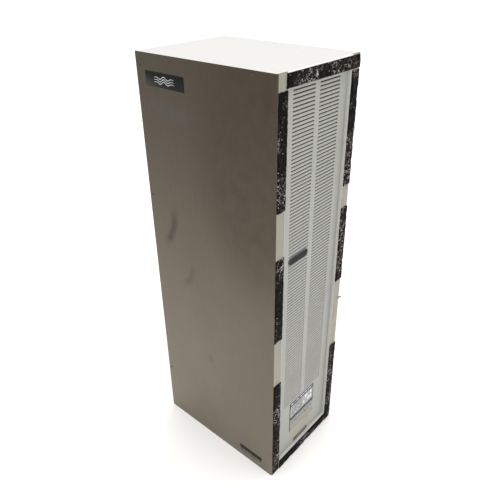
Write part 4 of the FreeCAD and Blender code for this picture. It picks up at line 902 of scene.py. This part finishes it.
@dataclass
class LouverPanel:
    """The painted front panel: two columns of blades lanced and bent inward, and a fold down each side."""

    thick: float = 0.001
    pitch: float = 0.0091
    opening: float = 0.0046
    first: float = 0.224
    rows: int = 103
    inner: float = 0.009
    outer: float = 0.0915
    lean: float = 62.0
    bend: float = 0.0016
    corner: float = 0.0012
    gap: float = 0.00015
    notch: float = 0.0032
    fold: float = 0.0024
    fold_middle: float = 0.3
    margin: float = 1.4
    depth: float = 0.018
    chamfer: float = 0.3
    tip: tuple[float, float] = (-0.2, -0.1)
    bend_steps: int = 2
    shade: tuple[float, float] = (0.0001, 0.0018)

    def stations(self) -> list[tuple[float, float]]:
        """Return the panel's section across, from the left fold to the right one.

        Returns:
            Places along X and Y.
        """
        low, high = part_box("louver_panel")
        face, middle = low.y, self.fold_middle * self.fold
        half = [(high.x, face + self.depth), (high.x, face + self.fold), (high.x - middle, face + middle),
                (high.x - self.fold, face), (high.x - self.margin * self.fold, face)]
        half += [(self.outer, face), (self.outer - self.corner, face), (self.inner + self.corner, face),
                 (self.inner, face)]
        return [(-x, y) for x, y in half] + half[::-1]

    def in_slot(self, column: int) -> bool:
        """Say whether the strip from one station to the next lies in a column of blades.

        Args:
            column: The strip's number from the left.

        Returns:
            True inside a column of blades.
        """
        left, right = self.stations()[column][0], self.stations()[column + 1][0]
        middle = abs(left + right) / 2
        return self.inner < middle < self.outer

    def blade(self, across: float, side: float) -> list[Vector]:
        """Return the points of a blade's profile above its root.

        Args:
            across: The place of the profile along X.
            side: 1 or -1 on the blade's ends, towards its middle, or 0 inside it.

        Returns:
            The points from the bend to the free edge.
        """
        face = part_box("louver_panel")[0].y
        lean = math.radians(self.lean)
        flat = self.opening - self.bend * lean
        turns = [lean * step / self.bend_steps for step in range(1, self.bend_steps + 1)]
        points = [(self.bend * (1 - math.cos(turn)), self.bend * math.sin(turn)) for turn in turns]
        points.append((points[-1][0] + flat * math.sin(lean), points[-1][1] + flat * math.cos(lean)))
        start = across + side * (self.notch if side < 0 else self.gap)
        return [Vector((start, face + depth, self.first + rise)) for depth, rise in points]

    def row(self) -> bmesh.types.BMesh:
        """Return the lowest row: the sheet round its two slots and the two blades.

        Returns:
            The row's mesh.
        """
        form = bmesh.new()
        stations = self.stations()
        levels = [0.0, self.opening - self.corner, self.opening, self.pitch]
        grid = [[form.verts.new((x, y, self.first + level)) for x, y in stations] for level in levels]
        flags = [self.in_slot(column) for column in range(len(stations) - 1)]
        for up in range(len(levels) - 1):
            for column, slot in enumerate(flags):
                if not (slot and up < 2):
                    form.faces.new((grid[up][column], grid[up][column + 1], grid[up + 1][column + 1],
                                    grid[up + 1][column]))
        for column in range(1, len(flags)):
            if flags[column] != flags[column - 1]:
                inward = 1 if flags[column] else -1
                grid[2][column].co += Vector((inward, 0, -1)) * self.chamfer * self.corner
        self.add_blades(form, grid[0], flags)
        return form

    def add_blades(self, form: bmesh.types.BMesh, root: list[bmesh.types.BMVert],
                   flags: list[bool]) -> None:
        """Add the blades of one row.

        Args:
            form: The row's mesh.
            root: The sheet's corners at the level of the blades' roots.
            flags: Whether each strip lies in a slot.
        """
        profiles: dict[int, list[bmesh.types.BMVert]] = {}
        for column, slot in enumerate(flags):
            for end in (column, column + 1) if slot else ():
                if end not in profiles:
                    side = (1 if not flags[end - 1] else 0) - (1 if not flags[end] else 0)
                    points = self.blade(root[end].co.x, side)
                    if side:
                        points[-1] += Vector((side * self.chamfer, *self.tip)) * self.corner
                    profiles[end] = [root[end]] + [form.verts.new(point) for point in points]
            if slot:
                left, right = profiles[column], profiles[column + 1]
                for step in range(len(left) - 1):
                    form.faces.new((left[step], right[step], right[step + 1], left[step + 1]))

    def add_bands(self, form: bmesh.types.BMesh) -> None:
        """Add the plain sheet below and above the blades.

        Args:
            form: The mesh that gets it.
        """
        low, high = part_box("louver_panel")
        top = self.first + self.rows * self.pitch
        for start, end, steps in ((low.z, self.first, 6), (top, high.z, 2)):
            levels = [start + (end - start) * step / steps for step in range(steps + 1)]
            grid = [[form.verts.new((x, y, level)) for x, y in self.stations()] for level in levels]
            for lower, upper in zip(grid, grid[1:]):
                for column in range(len(lower) - 1):
                    form.faces.new((lower[column], lower[column + 1], upper[column + 1], upper[column]))

    def build(self) -> None:
        """Build and dress the panel."""
        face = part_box("louver_panel")[0].y
        finish = PaintedSheet("panel_paint", blades=(face + self.shade[0], face + self.shade[1]), stains=(
            Smudge((0.0, 0.075), (0.085, 0.035), depth=0.75, colour="A08D68"),
            Smudge((0.03, 0.095), (0.050, 0.020), depth=0.6, colour="8D7040"),
            Smudge((-0.06, 0.24), (0.035, 0.020), depth=0.35, colour="777268"),
        )).material()
        piece = new_piece("louver_panel_sheet", self.row(), finish)
        repeat_recipe().bake(piece, Count=self.rows, Step=(0.0, 0.0, self.pitch), Material=finish)
        form = bmesh.new()
        form.from_mesh(piece.data)
        self.add_bands(form)
        bmesh.ops.remove_doubles(form, verts=form.verts, dist=WELD)
        form.to_mesh(piece.data)
        form.free()
        wall = piece.modifiers.new("wall", "SOLIDIFY")
        wall.thickness = self.thick
        wall.offset = -1.0
        settle(piece)
        piece.data.shade_smooth()
        piece.data.set_sharp_from_angle(angle=math.radians(35))
        keep(piece, Body.CABINET, "painted_panel", "louver_panel")


@dataclass
class PanelSurround:
    """The thin painted frame that closes the step from the flange's inner edge to the louver panel."""

    thick: float = 0.0012
    gap: float = 0.0001
    edge: float = 0.0002

    def build(self) -> None:
        """Build and dress the frame."""
        left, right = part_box("left_side_panel")[1].x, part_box("right_side_panel")[0].x
        bottom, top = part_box("base_pan")[1].z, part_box("top_panel")[0].z
        front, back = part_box("left_side_panel")[0].y + self.gap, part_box("louver_panel")[0].y - self.gap
        form = bmesh.new()
        rings = []
        for inset, y in ((self.gap, front), (self.thick, front), (self.thick, back), (self.gap, back)):
            corners = ((left + inset, bottom + inset), (right - inset, bottom + inset),
                       (right - inset, top - inset), (left + inset, top - inset))
            rings.append([form.verts.new((x, y, z)) for x, z in corners])
        for ring, following in zip(rings, rings[1:] + rings[:1]):
            for corner in range(4):
                after = (corner + 1) % 4
                form.faces.new((ring[corner], ring[after], following[after], following[corner]))
        bmesh.ops.recalc_face_normals(form, faces=form.faces)
        bmesh.ops.bevel(form, geom=list(form.edges), offset=self.edge, segments=2, profile=0.5,
                        affect="EDGES")
        # The frame's tone is lighter than the panel's paint, which lifts the shade in the step behind the
        # flange: painted light.
        paint = Moulding("surround_paint", "B9BAB5", "8E8F88", 700, 0.00003).material()
        keep(new_piece("panel_surround", form, paint, smooth=35), Body.CABINET, "painted_panel")


@dataclass
class FoamStrip:
    """One length of torn foam tape, whose ends and long edges are ragged."""

    low: Vector
    high: Vector
    seed: int
    step: float = 0.0023
    edge_wear: float = 0.0009
    end_wear: float = 0.003
    least: float = 0.62
    tear_start: float = 0.22
    tear_slope: float = 1.6
    tear_most: float = 0.3
    shoulder: float = 0.0016
    rim_height: float = 0.45

    def wave(self, place: float, row: int, scale: float) -> float:
        """Return a wander of -1 to 1 along an edge."""
        return noise.fractal(Vector((place * scale, row * 5.1, self.seed * 7.3)), 0.8, 2.1, 4)

    def ragged(self, along: float, edge: int, long_edge: bool) -> float:
        """Return how far an edge is worn back at one place along it."""
        depth, scale = (self.edge_wear, 70.0) if long_edge else (self.end_wear, 110.0)
        return depth * (0.6 + 0.5 * self.wave(along, edge, scale))

    def fill(self, form: bmesh.types.BMesh) -> None:
        """Add the strip to a mesh.

        Args:
            form: The mesh that gets it.
        """
        size = self.high - self.low
        upright = size.z > size.x
        columns, rows = (max(4, round(length / self.step)) for length in (size.x, size.z))
        front, back = [], []
        for row in range(rows + 1):
            share_up = row / rows
            level = self.low.z + size.z * share_up
            left = self.low.x + self.ragged(level, 0, upright)
            right = self.high.x - self.ragged(level, 1, upright)
            face, rear = [], []
            for column in range(columns + 1):
                across = left + (right - left) * column / columns
                bottom = self.low.z + self.ragged(across, 2, not upright)
                top = self.high.z - self.ragged(across, 3, not upright)
                up = bottom + (top - bottom) * share_up
                rim = min(across - left, right - across, up - bottom, top - up)
                face.append(Vector((across, self.high.y - size.y * self.swell(across, up, rim), up)))
                rear.append(Vector((across, self.high.y, up)))
            front.append(face)
            back.append(rear)
        slab(form, front, back)

    def swell(self, across: float, up: float, rim: float) -> float:
        """Return the foam's height at one place, as a share of its thickness.

        Args:
            across: The place along X.
            up: The place along Z.
            rim: The distance to the nearest edge.

        Returns:
            The share, from about 0.3 at an edge to 1 where the skin stands proud.
        """
        place = Vector((across, self.seed * 3.1, up))
        lumps = 0.5 + 0.5 * noise.fractal(place * 85, 0.9, 2.0, 4)
        torn = noise.noise(place * 38 + Vector((9, 0, 0)))
        height = self.least + (1 - self.least) * min(1.0, max(0.0, lumps))
        if torn > self.tear_start:
            height -= min(self.tear_most, (torn - self.tear_start) * self.tear_slope)
        shoulder = min(1.0, max(0.0, rim) / self.shoulder)
        return height * (self.rim_height + (1 - self.rim_height) * shoulder * (2 - shoulder))


@dataclass
class GasketSet:
    """The foam strips round the flange, with pale torn crumbs, and the scrap of tape beside them."""

    nodes: tuple[str, ...] = ("left_gasket", "right_gasket", "top_gasket", "bottom_gasket")
    crumb: float = 0.0012
    crumb_density: float = 1400.0
    residue: float = 0.0014
    fill: float = 0.9
    inset: float = 0.002
    residue_seed: int = 77

    def build(self) -> None:
        """Build and dress every strip, then its crumbs."""
        foam = TornFoam("torn_foam").material()
        crumbs = Moulding("foam_crumbs", "A39E96", "6B6660", 900, 0.0002, (0.8, 0.95)).material()
        for number, node in enumerate(self.nodes):
            form = bmesh.new()
            for count, (low, high) in enumerate(islands(node)):
                FoamStrip(low, high, seed=number * 10 + count).fill(form)
            strip = new_piece(f"{node}_foam", form, foam, smooth=60)
            loose = new_piece(f"{node}_crumbs", self.fronts(strip), crumbs)
            scatter_recipe().bake(loose, **{"Lump Size": self.crumb, "Density": self.crumb_density,
                                            "Seed": number, "Material": crumbs})
            keep(strip, Body.CABINET, "foam", node)
            keep(loose, Body.CABINET, "foam")
        self.build_residue(foam)
        self.build_scrap()

    def fronts(self, strip: bpy.types.Object) -> bmesh.types.BMesh:
        """Return only the faces of a strip that look forward.

        Args:
            strip: The finished strip.

        Returns:
            A mesh of its front faces.
        """
        form = bmesh.new()
        form.from_mesh(strip.data)
        form.normal_update()
        hidden = [face for face in form.faces if face.normal.y > -0.5]
        bmesh.ops.delete(form, geom=hidden, context="FACES")
        return form

    def build_residue(self, foam: bpy.types.Material) -> None:
        """Build the thin torn patch that is left at the lower corner of the left side.

        Args:
            foam: The strips' material.
        """
        corner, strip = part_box("left_side_panel")[0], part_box("bottom_gasket")
        low = Vector((corner.x + self.inset, corner.y - self.residue, strip[0].z))
        high = Vector((strip[0].x - WALL, corner.y, strip[1].z))
        form = bmesh.new()
        FoamStrip(low, high, seed=self.residue_seed).fill(form)
        patch = new_piece("corner_residue", form, foam, smooth=60)
        keep(patch, Body.CABINET, "foam")

    def build_scrap(self) -> None:
        """Dress the scrap of tape."""
        Moulding("tape_scrap", "7A4A45", "B9A79A", 300, 0.0004, (0.5, 0.8)).dress("gasket_scrap")


@dataclass
class Nameplate:
    """The black plate high on the left side, with three bright wave lines."""

    corner: float = 0.0012
    lines: int = 3
    line_wide: float = 0.0016
    line_high: float = 0.00025
    reach: float = 0.036
    swing: float = 0.0036
    waves: float = 2.5
    spacing: float = 0.0058
    steps: int = 48
    root: float = 0.0001

    def build(self) -> None:
        """Build and dress the plate and its lines."""
        low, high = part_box("nameplate")
        black = Moulding("nameplate_black", "0D0C0D", "2A2829", 500, 0.00002, (0.3, 0.45), 0.2).material()
        silver = Metal("nameplate_silver", "D8D8DA", "9A9A9C", rough=(0.25, 0.4)).material()
        outline = rounded((low.y, low.z), (high.y, high.z), self.corner)
        form = plate(Side.LEFT, outline, high.x, high.x - low.x)
        piece = new_piece("nameplate_plate", form, black, smooth=35)
        keep(piece, Body.CABINET, "plate_black", "nameplate")
        form = bmesh.new()
        centre = (low + high) / 2
        for line in range(self.lines):
            self.add_line(form, centre, (line - (self.lines - 1) / 2) * self.spacing, low.x)
        keep(new_piece("nameplate_lines", form, silver, smooth=35), Body.CABINET, "plate_black")

    def add_line(self, form: bmesh.types.BMesh, centre: Vector, offset: float, face: float) -> None:
        """Add one raised wave line.

        Args:
            form: The mesh that gets it.
            centre: The plate's middle.
            offset: The line's level above the middle.
            face: The place of the plate's face along X.
        """
        front: list[list[Vector]] = [[], [], []]
        for step in range(self.steps + 1):
            share = step / self.steps
            across = centre.y + self.reach * (1 - 2 * share)
            swing = self.swing * math.sin(share * self.waves * math.tau)
            level = centre.z + offset + swing * math.sin(share * math.pi)
            wide = self.line_wide * (0.25 + 0.75 * math.sin(share * math.pi) ** 0.5) / 2
            for row, (up, out) in enumerate(((-wide, 0.4), (0.0, 1.0), (wide, 0.4))):
                front[row].append(Vector((face - self.line_high * out, across, level + up)))
        back = [[Vector((face + self.root, point.y, point.z)) for point in row] for row in front]
        slab(form, front, back)


@dataclass
class Badge:
    """The black badge between the louvers: a stadium with a pale rim and a pebbled middle."""

    rim: float = 0.0011
    sink: float = 0.0004

    def build(self) -> None:
        """Build and dress the badge."""
        low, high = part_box("badge")
        radius = (high.z - low.z) / 2 - WELD
        outline = rounded((low.x, low.z), (high.x, high.z), radius, 10)
        face = Moulding("badge_pebbled", "0B0B0D", "3C3D3F", 420, 0.0005, (0.4, 0.6), 0.2).material()
        rim = Metal("badge_rim", "8E9092", "4A4B4D", rough=(0.3, 0.45)).material()
        form = plate(Side.FRONT, outline, high.y, high.y - low.y, self.rim, self.sink)
        keep(new_piece("badge_plate", form, face, rim, smooth=35), Body.CABINET, "badge_black", "badge")


@dataclass
class Labels:
    """The printed films: the rating label, the service label and the small side label."""

    rating: tuple[Band, ...] = (
        Band(0.03, 0.0, 1.0, 0.13, "9C8F74"),
        Band(0.0, 0.86, 1.0, 1.0, "4F5154"),
        Band(0.06, 0.885, 0.94, 0.955, "C9CBCB", 1, 14),
        Band(0.0, 0.0, 0.03, 1.0, "1E1F22"),
        Band(0.97, 0.3, 1.0, 0.86, "4F5154"),
        Band(0.1, 0.5, 0.5, 0.82, "6A6C6E", 4, 10),
        # The pale dashes stand in for the white glints on the crinkled foil: painted highlight.
        Band(0.55, 0.5, 0.92, 0.82, "DCDDDD", 2, 5),
        Band(0.0, 0.39, 1.0, 0.48, "2B2D30"),
        Band(0.05, 0.15, 0.97, 0.37, "38393C", 5, 30),
    )
    service: tuple[Band, ...] = (Band(0.04, 0.12, 0.96, 0.9, "8A7B64", 4, 26),)
    side: tuple[Band, ...] = (
        Band(0.0, 0.5, 1.0, 1.0, "0C0C0E"),
        Band(0.04, 0.06, 0.96, 0.46, "1C1A19", 2, 22),
    )

    def build(self) -> None:
        """Dress the three labels."""
        for node, face, ground, bands in (
            ("rating_label", Side.FRONT, "A4A6A6", self.rating),
            ("service_label", Side.FRONT, "4A4034", self.service),
            ("side_label", Side.LEFT, "6F6A60", self.side),
        ):
            low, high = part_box(node)
            start, end = (low.x, high.x) if face is Side.FRONT else (low.y, high.y)
            PrintedFilm(f"{node}_film", (start, low.z), (end, high.z), face, ground, bands).dress(node)


@dataclass
class ScrewHeads:
    """The pan heads and rivets in the wide sides, set on points by Geometry Nodes."""

    segments: int = 28
    recess: float = 0.16
    recess_reach: float = 0.5
    profile: tuple[tuple[float, float], ...] = (
        (1.0, -0.02), (1.0, 0.10), (0.94, 0.24), (0.78, 0.37), (0.52, 0.45), (0.25, 0.47),
    )

    def head(self, finish: bpy.types.Material) -> bpy.types.Object:
        """Return one head of radius 1 that faces +Z, with a cross recess.

        Args:
            finish: The head's material.

        Returns:
            The head as its own object.
        """
        form = bmesh.new()
        angles = [math.tau * step / self.segments for step in range(self.segments)]
        rings = []
        for radius, height in self.profile:
            rings.append([form.verts.new((radius * math.cos(angle), radius * math.sin(angle), height))
                          for angle in angles])
        for lower, upper in zip(rings, rings[1:]):
            for step in range(self.segments):
                after = (step + 1) % self.segments
                form.faces.new((lower[step], lower[after], upper[after], upper[step]))
        form.faces.new(rings[-1])
        form.faces.new(rings[0][::-1])
        head = new_piece("head_pattern", form, finish, smooth=35)
        cross = bmesh.new()
        middle = Matrix.Translation((0, 0, self.profile[-1][1]))
        for length, width in ((self.recess_reach, self.recess), (self.recess, self.recess_reach)):
            size = Matrix.Diagonal((2 * length, 2 * width, self.recess_reach, 1))
            bmesh.ops.create_cube(cross, size=1.0, matrix=middle @ size)
        tool = new_piece("recess_pattern", cross, finish)
        cut = head.modifiers.new("recess", "BOOLEAN")
        cut.object = tool
        cut.use_self = True
        settle(head)
        bpy.data.objects.remove(tool)
        return head

    def build(self) -> None:
        """Build and dress every head."""
        finish = Metal("screw_zinc", "5E5A53", "2A2724", 0.6, 300, rough=(0.3, 0.55)).material()
        heads = islands("cabinet_screws")
        panels = {-1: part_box("left_side_panel")[0].x, 1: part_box("right_side_panel")[1].x}
        mesh = bpy.data.meshes.new("screw_heads")
        points, facing, reach = [], [], []
        for low, high in heads:
            side = 1 if low.x + high.x > 0 else -1
            points.append((panels[side], (low.y + high.y) / 2, (low.z + high.z) / 2))
            facing += [side, 0.0, 0.0]
            reach.append((high.z - low.z) / 2)
        mesh.from_pydata(points, [], [])
        mesh.attributes.new("facing", "FLOAT_VECTOR", "POINT").data.foreach_set("vector", facing)
        mesh.attributes.new("reach", "FLOAT", "POINT").data.foreach_set("value", reach)
        piece = bpy.data.objects.new("screw_heads", mesh)
        bpy.context.scene.collection.objects.link(piece)
        head = self.head(finish)
        fastener_recipe().bake(piece, Head=head, Material=finish)
        bpy.data.objects.remove(head)
        keep(piece, Body.CABINET, "screw_steel", "cabinet_screws")


@dataclass
class Coil:
    """The thin aluminium fins of one coil, repeated along the tubes."""

    node: str
    pitch: float = 0.0021
    thick: float = 0.00016
    waves: int = 6
    ripple: float = 0.0004

    def build(self) -> None:
        """Build and dress the fins."""
        low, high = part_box(self.node)
        finish = Metal("fin_aluminium", "C3C6C8", "84878A", 0.3, 60, rough=(0.35, 0.55)).material()
        form = bmesh.new()
        stations = [low.y + (high.y - low.y) * step / self.waves for step in range(self.waves + 1)]
        front = [[Vector((low.x + self.ripple * (step % 2), y, level))
                  for step, y in enumerate(stations)][::-1] for level in (low.z, high.z)]
        back = [[point + Vector((self.thick, 0, 0)) for point in row] for row in front]
        slab(form, front, back)
        piece = new_piece(f"{self.node}_stack", form, finish)
        count = int((high.x - low.x - self.ripple) / self.pitch)
        repeat_recipe().bake(piece, Count=count, Step=(self.pitch, 0.0, 0.0), Material=finish)
        keep(piece, Body.CABINET, "aluminium_fins", self.node)


@dataclass
class FilterMesh:
    """The filter's metal mesh: crossed wires in layers, repeated by Geometry Nodes."""

    pitch: float = 0.004
    wire: float = 0.0003
    layers: int = 3

    def wire_form(self, start: Vector, end: Vector) -> bmesh.types.BMesh:
        """Return one straight hexagonal wire between two places.

        Args:
            start: The middle of one end.
            end: The middle of the other end.

        Returns:
            The wire's mesh.
        """
        form = bmesh.new()
        bmesh.ops.create_cone(form, cap_ends=True, segments=6, radius1=self.wire, radius2=self.wire,
                              depth=(end - start).length)
        turn = (end - start).to_track_quat("Z", "Y").to_matrix().to_4x4()
        bmesh.ops.transform(form, matrix=Matrix.Translation((start + end) / 2) @ turn, verts=form.verts)
        return form

    def build(self) -> None:
        """Build and dress every layer of wires."""
        low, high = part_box("filter_mesh")
        finish = Metal("filter_mesh_metal", "A4A7AA", "5A5D60", 0.4, 600, rough=(0.35, 0.55)).material()
        recipe = repeat_recipe()
        for layer in range(self.layers):
            y = low.y + (high.y - low.y) * (layer + 0.5) / self.layers
            nudge = self.pitch * layer / self.layers
            across, up, over = low.x + nudge, low.z + nudge, y + self.wire
            upright = (Vector((across, y, low.z)), Vector((across, y, high.z)))
            level = (Vector((low.x, over, up)), Vector((high.x, over, up)))
            for name, (start, end), step in (
                ("upright", upright, Vector((self.pitch, 0, 0))),
                ("level", level, Vector((0, 0, self.pitch))),
            ):
                piece = new_piece(f"mesh_{name}_{layer + 1}", self.wire_form(start, end), finish, smooth=60)
                count = int((high - low).dot(step) / self.pitch ** 2)
                recipe.bake(piece, Count=count, Step=step, Material=finish)
                keep(piece, Body.FILTER, "filter_mesh", "filter_mesh")


@dataclass
class InnerWorks:
    """The pieces inside the case and on its back, which keep their CAD shapes."""

    finishes: dict[Finish, tuple[str, ...]] = field(default_factory=lambda: {
        Metal("galvanised_sheet", "A7ABAE", "7C8083", 0.5, 40, rough=(0.35, 0.55), spangle=90):
            ("bulkhead", "condenser_baffle", "blower_deck", "blower_housing", "drain_pan", "filter_rails",
             "control_box", "control_box_cover", "evaporator_end_plates", "condenser_end_plates"),
        Metal("shroud_sheet", "55585B", "3B3D40", 0.4, 60, rough=(0.4, 0.6), metallic=0.6): ("fan_shroud",),
        Metal("bracket_zinc", "9A9C9E", "5E6062", 0.4, 80):
            ("fan_bracket", "blower_bracket", "capacitor_strap"),
        Metal("wheel_zinc", "A4A7AA", "6A6D70", 0.4, 80): ("blower_wheel",),
        Metal("copper_tube", "B4683E", "5A2E1B", 0.6, 70, rough=(0.25, 0.5)):
            ("evaporator_tube", "condenser_tube", "suction_line", "discharge_line", "liquid_line",
             "capillary_tube", "filter_drier"),
        Metal("black_enamel", "121314", "2C2D2F", 0.4, 50, rough=(0.3, 0.5), metallic=0.1):
            ("compressor", "accumulator", "fan_motor", "blower_motor"),
        Metal("capacitor_can", "B9BCBE", "85888A", 0.3, 60, rough=(0.25, 0.4)): ("run_capacitor",),
        Metal("stud_zinc", "A9A58F", "6D6A5A", 0.4, 200): ("compressor_studs",),
        Metal("plated_wire", "C6C9CB", "7D8083", 0.35, 120, rough=(0.15, 0.35), metallic=1.0):
            ("fan_guard",),
        Moulding("fan_moulding", "24262A", "4A4C50"): ("condenser_fan",),
        Moulding("rubber", "111112", "3A3A3A", 900, 0.0001, (0.6, 0.8)):
            ("grommets", "compressor_grommets"),
        Moulding("liner_foam", "3B3D40", "5A5C5E", 700, 0.0004, (0.8, 0.95)): ("bulkhead_liner",),
        Moulding("drain_plastic", "C9C8C2", "9A988F"): ("drain_tube",),
        Moulding("beige_plastic", "CDC5B0", "9C947F"): ("terminal_block", "thermostat"),
        Moulding("dark_plastic", "202123", "45464A"): ("contactor", "thermostat_knob"),
        Moulding("blue_plastic", "2C5C9C", "1B3A66"): ("contactor_plunger",),
        Moulding("filter_frame_plastic", "2B2C2E", "5A5B5D"): ("filter_frame",),
    })

    def build(self) -> None:
        """Dress each node, and build the fins of both coils."""
        for finish, nodes in self.finishes.items():
            finish.dress(*nodes)
        for node in ("evaporator_fins", "condenser_fins"):
            Coil(node).build()


# ---------------------------------------------------------------- stage


@dataclass(frozen=True)
class PaleFloor(Finish):
    """A plain pale floor."""

    colour: str = "F4F3F1"
    shade: str = "E6E5E3"

    def paint(self, graph: ShaderGraph) -> None:
        """Build a matt surface with the faintest unevenness.

        Args:
            graph: The material's nodes.
        """
        uneven = graph.noise(2.0, 3)
        colour = graph.mix(graph.spread(uneven, 0, 0.05), tone(self.colour), tone(self.shade))
        graph.surface({"Base Color": colour, "Roughness": 0.9})


@dataclass
class Studio:
    """The floor, the soft lights and the camera."""

    floor_half: float = 14.0
    sky: float = 0.55
    sun: float = 2.9
    sun_angle: float = 85.0
    sun_place: tuple[float, float, float] = (0.2, -0.1, 2.2)
    panel_place: tuple[float, float, float] = (-2.2, -2.3, 1.1)
    panel_size: float = 1.2
    panel_power: float = 24.0
    azimuth: float = -48.803
    elevation: float = 28.66
    roll: float = -0.637
    lens: float = 37.215
    shift: tuple[float, float] = (0.0, -0.035)
    stand: tuple[float, float, float] = (-0.8137, -0.6349, 1.4132)

    def build_floor(self) -> None:
        """Build the floor under the cabinet."""
        form = bmesh.new()
        bmesh.ops.create_grid(form, x_segments=4, y_segments=4, size=self.floor_half)
        bmesh.ops.translate(form, verts=form.verts, vec=(0, 0, CAD_BOX[0].z))
        new_piece("floor", form, PaleFloor("floor_pale").material())

    def build_sky(self) -> None:
        """Build an even surround that lights the object softly and looks white behind it."""
        world = bpy.data.worlds.new("soft_surround")
        bpy.context.scene.world = world
        world.use_nodes = True
        graph = Graph(world.node_tree)
        seen = graph.add("ShaderNodeLightPath").outputs["Is Camera Ray"]
        strength = graph.add("ShaderNodeMapRange", {"Value": seen, "To Min": self.sky, "To Max": 1.0})
        light = graph.add("ShaderNodeBackground",
                          {"Color": (1.0, 1.0, 1.0, 1.0), "Strength": strength.outputs[0]})
        graph.add("ShaderNodeOutputWorld", {"Surface": light.outputs[0]})

    def add_light(self, name: str, place: Vector, aim: Vector, size: float, power: float) -> None:
        """Add one soft light: a square near the object, or the light of a hazy sky where no size is given.

        Args:
            name: The light's name.
            place: Where it stands.
            aim: What it looks at.
            size: The length of its side, or 0 for light that is even over the whole floor.
            power: Its power in watts, or the strength of the even light.
        """
        lamp = bpy.data.lights.new(name, "AREA" if size else "SUN")
        if size:
            lamp.size = size
        else:
            lamp.angle = math.radians(self.sun_angle)
        lamp.energy = power
        holder = bpy.data.objects.new(name, lamp)
        bpy.context.scene.collection.objects.link(holder)
        holder.location = place
        holder.rotation_mode = "QUATERNION"
        holder.rotation_quaternion = (place - aim).to_track_quat("Z", "Y")

    def build_camera(self) -> None:
        """Set up the camera."""
        lens = bpy.data.cameras.new("camera")
        lens.lens = self.lens
        lens.shift_x, lens.shift_y = self.shift
        camera = bpy.data.objects.new("camera", lens)
        bpy.context.scene.collection.objects.link(camera)
        around, above = math.radians(self.azimuth), math.radians(self.elevation)
        flat = math.cos(above)
        back = Vector((math.sin(around) * flat, -math.cos(around) * flat, math.sin(above)))
        roll = Quaternion((0, 0, 1), math.radians(self.roll))
        camera.rotation_mode = "QUATERNION"
        camera.rotation_quaternion = back.to_track_quat("Z", "Y") @ roll
        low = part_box("left_side_panel")[0]
        camera.location = low + Vector(self.stand)
        bpy.context.scene.camera = camera

    def build(self) -> None:
        """Build the whole stage."""
        middle = (CAD_BOX[0] + CAD_BOX[1]) / 2
        bpy.context.scene.view_settings.view_transform = "Standard"
        self.build_floor()
        self.build_sky()
        self.add_light("hazy_sun", middle + Vector(self.sun_place), middle, 0.0, self.sun)
        self.add_light("front_left", middle + Vector(self.panel_place), middle, self.panel_size,
                       self.panel_power)
        self.build_camera()


def main() -> None:
    """Build every sub-assembly in order."""
    logging.basicConfig(level=logging.INFO, format="%(message)s", stream=sys.stdout)
    for part in (Cabinet(), LouverPanel(), PanelSurround(), GasketSet(), Nameplate(), Badge(), Labels(),
                 ScrewHeads(), InnerWorks(), FilterMesh(), Studio()):
        part.build()


if __name__ == "__main__":
    main()
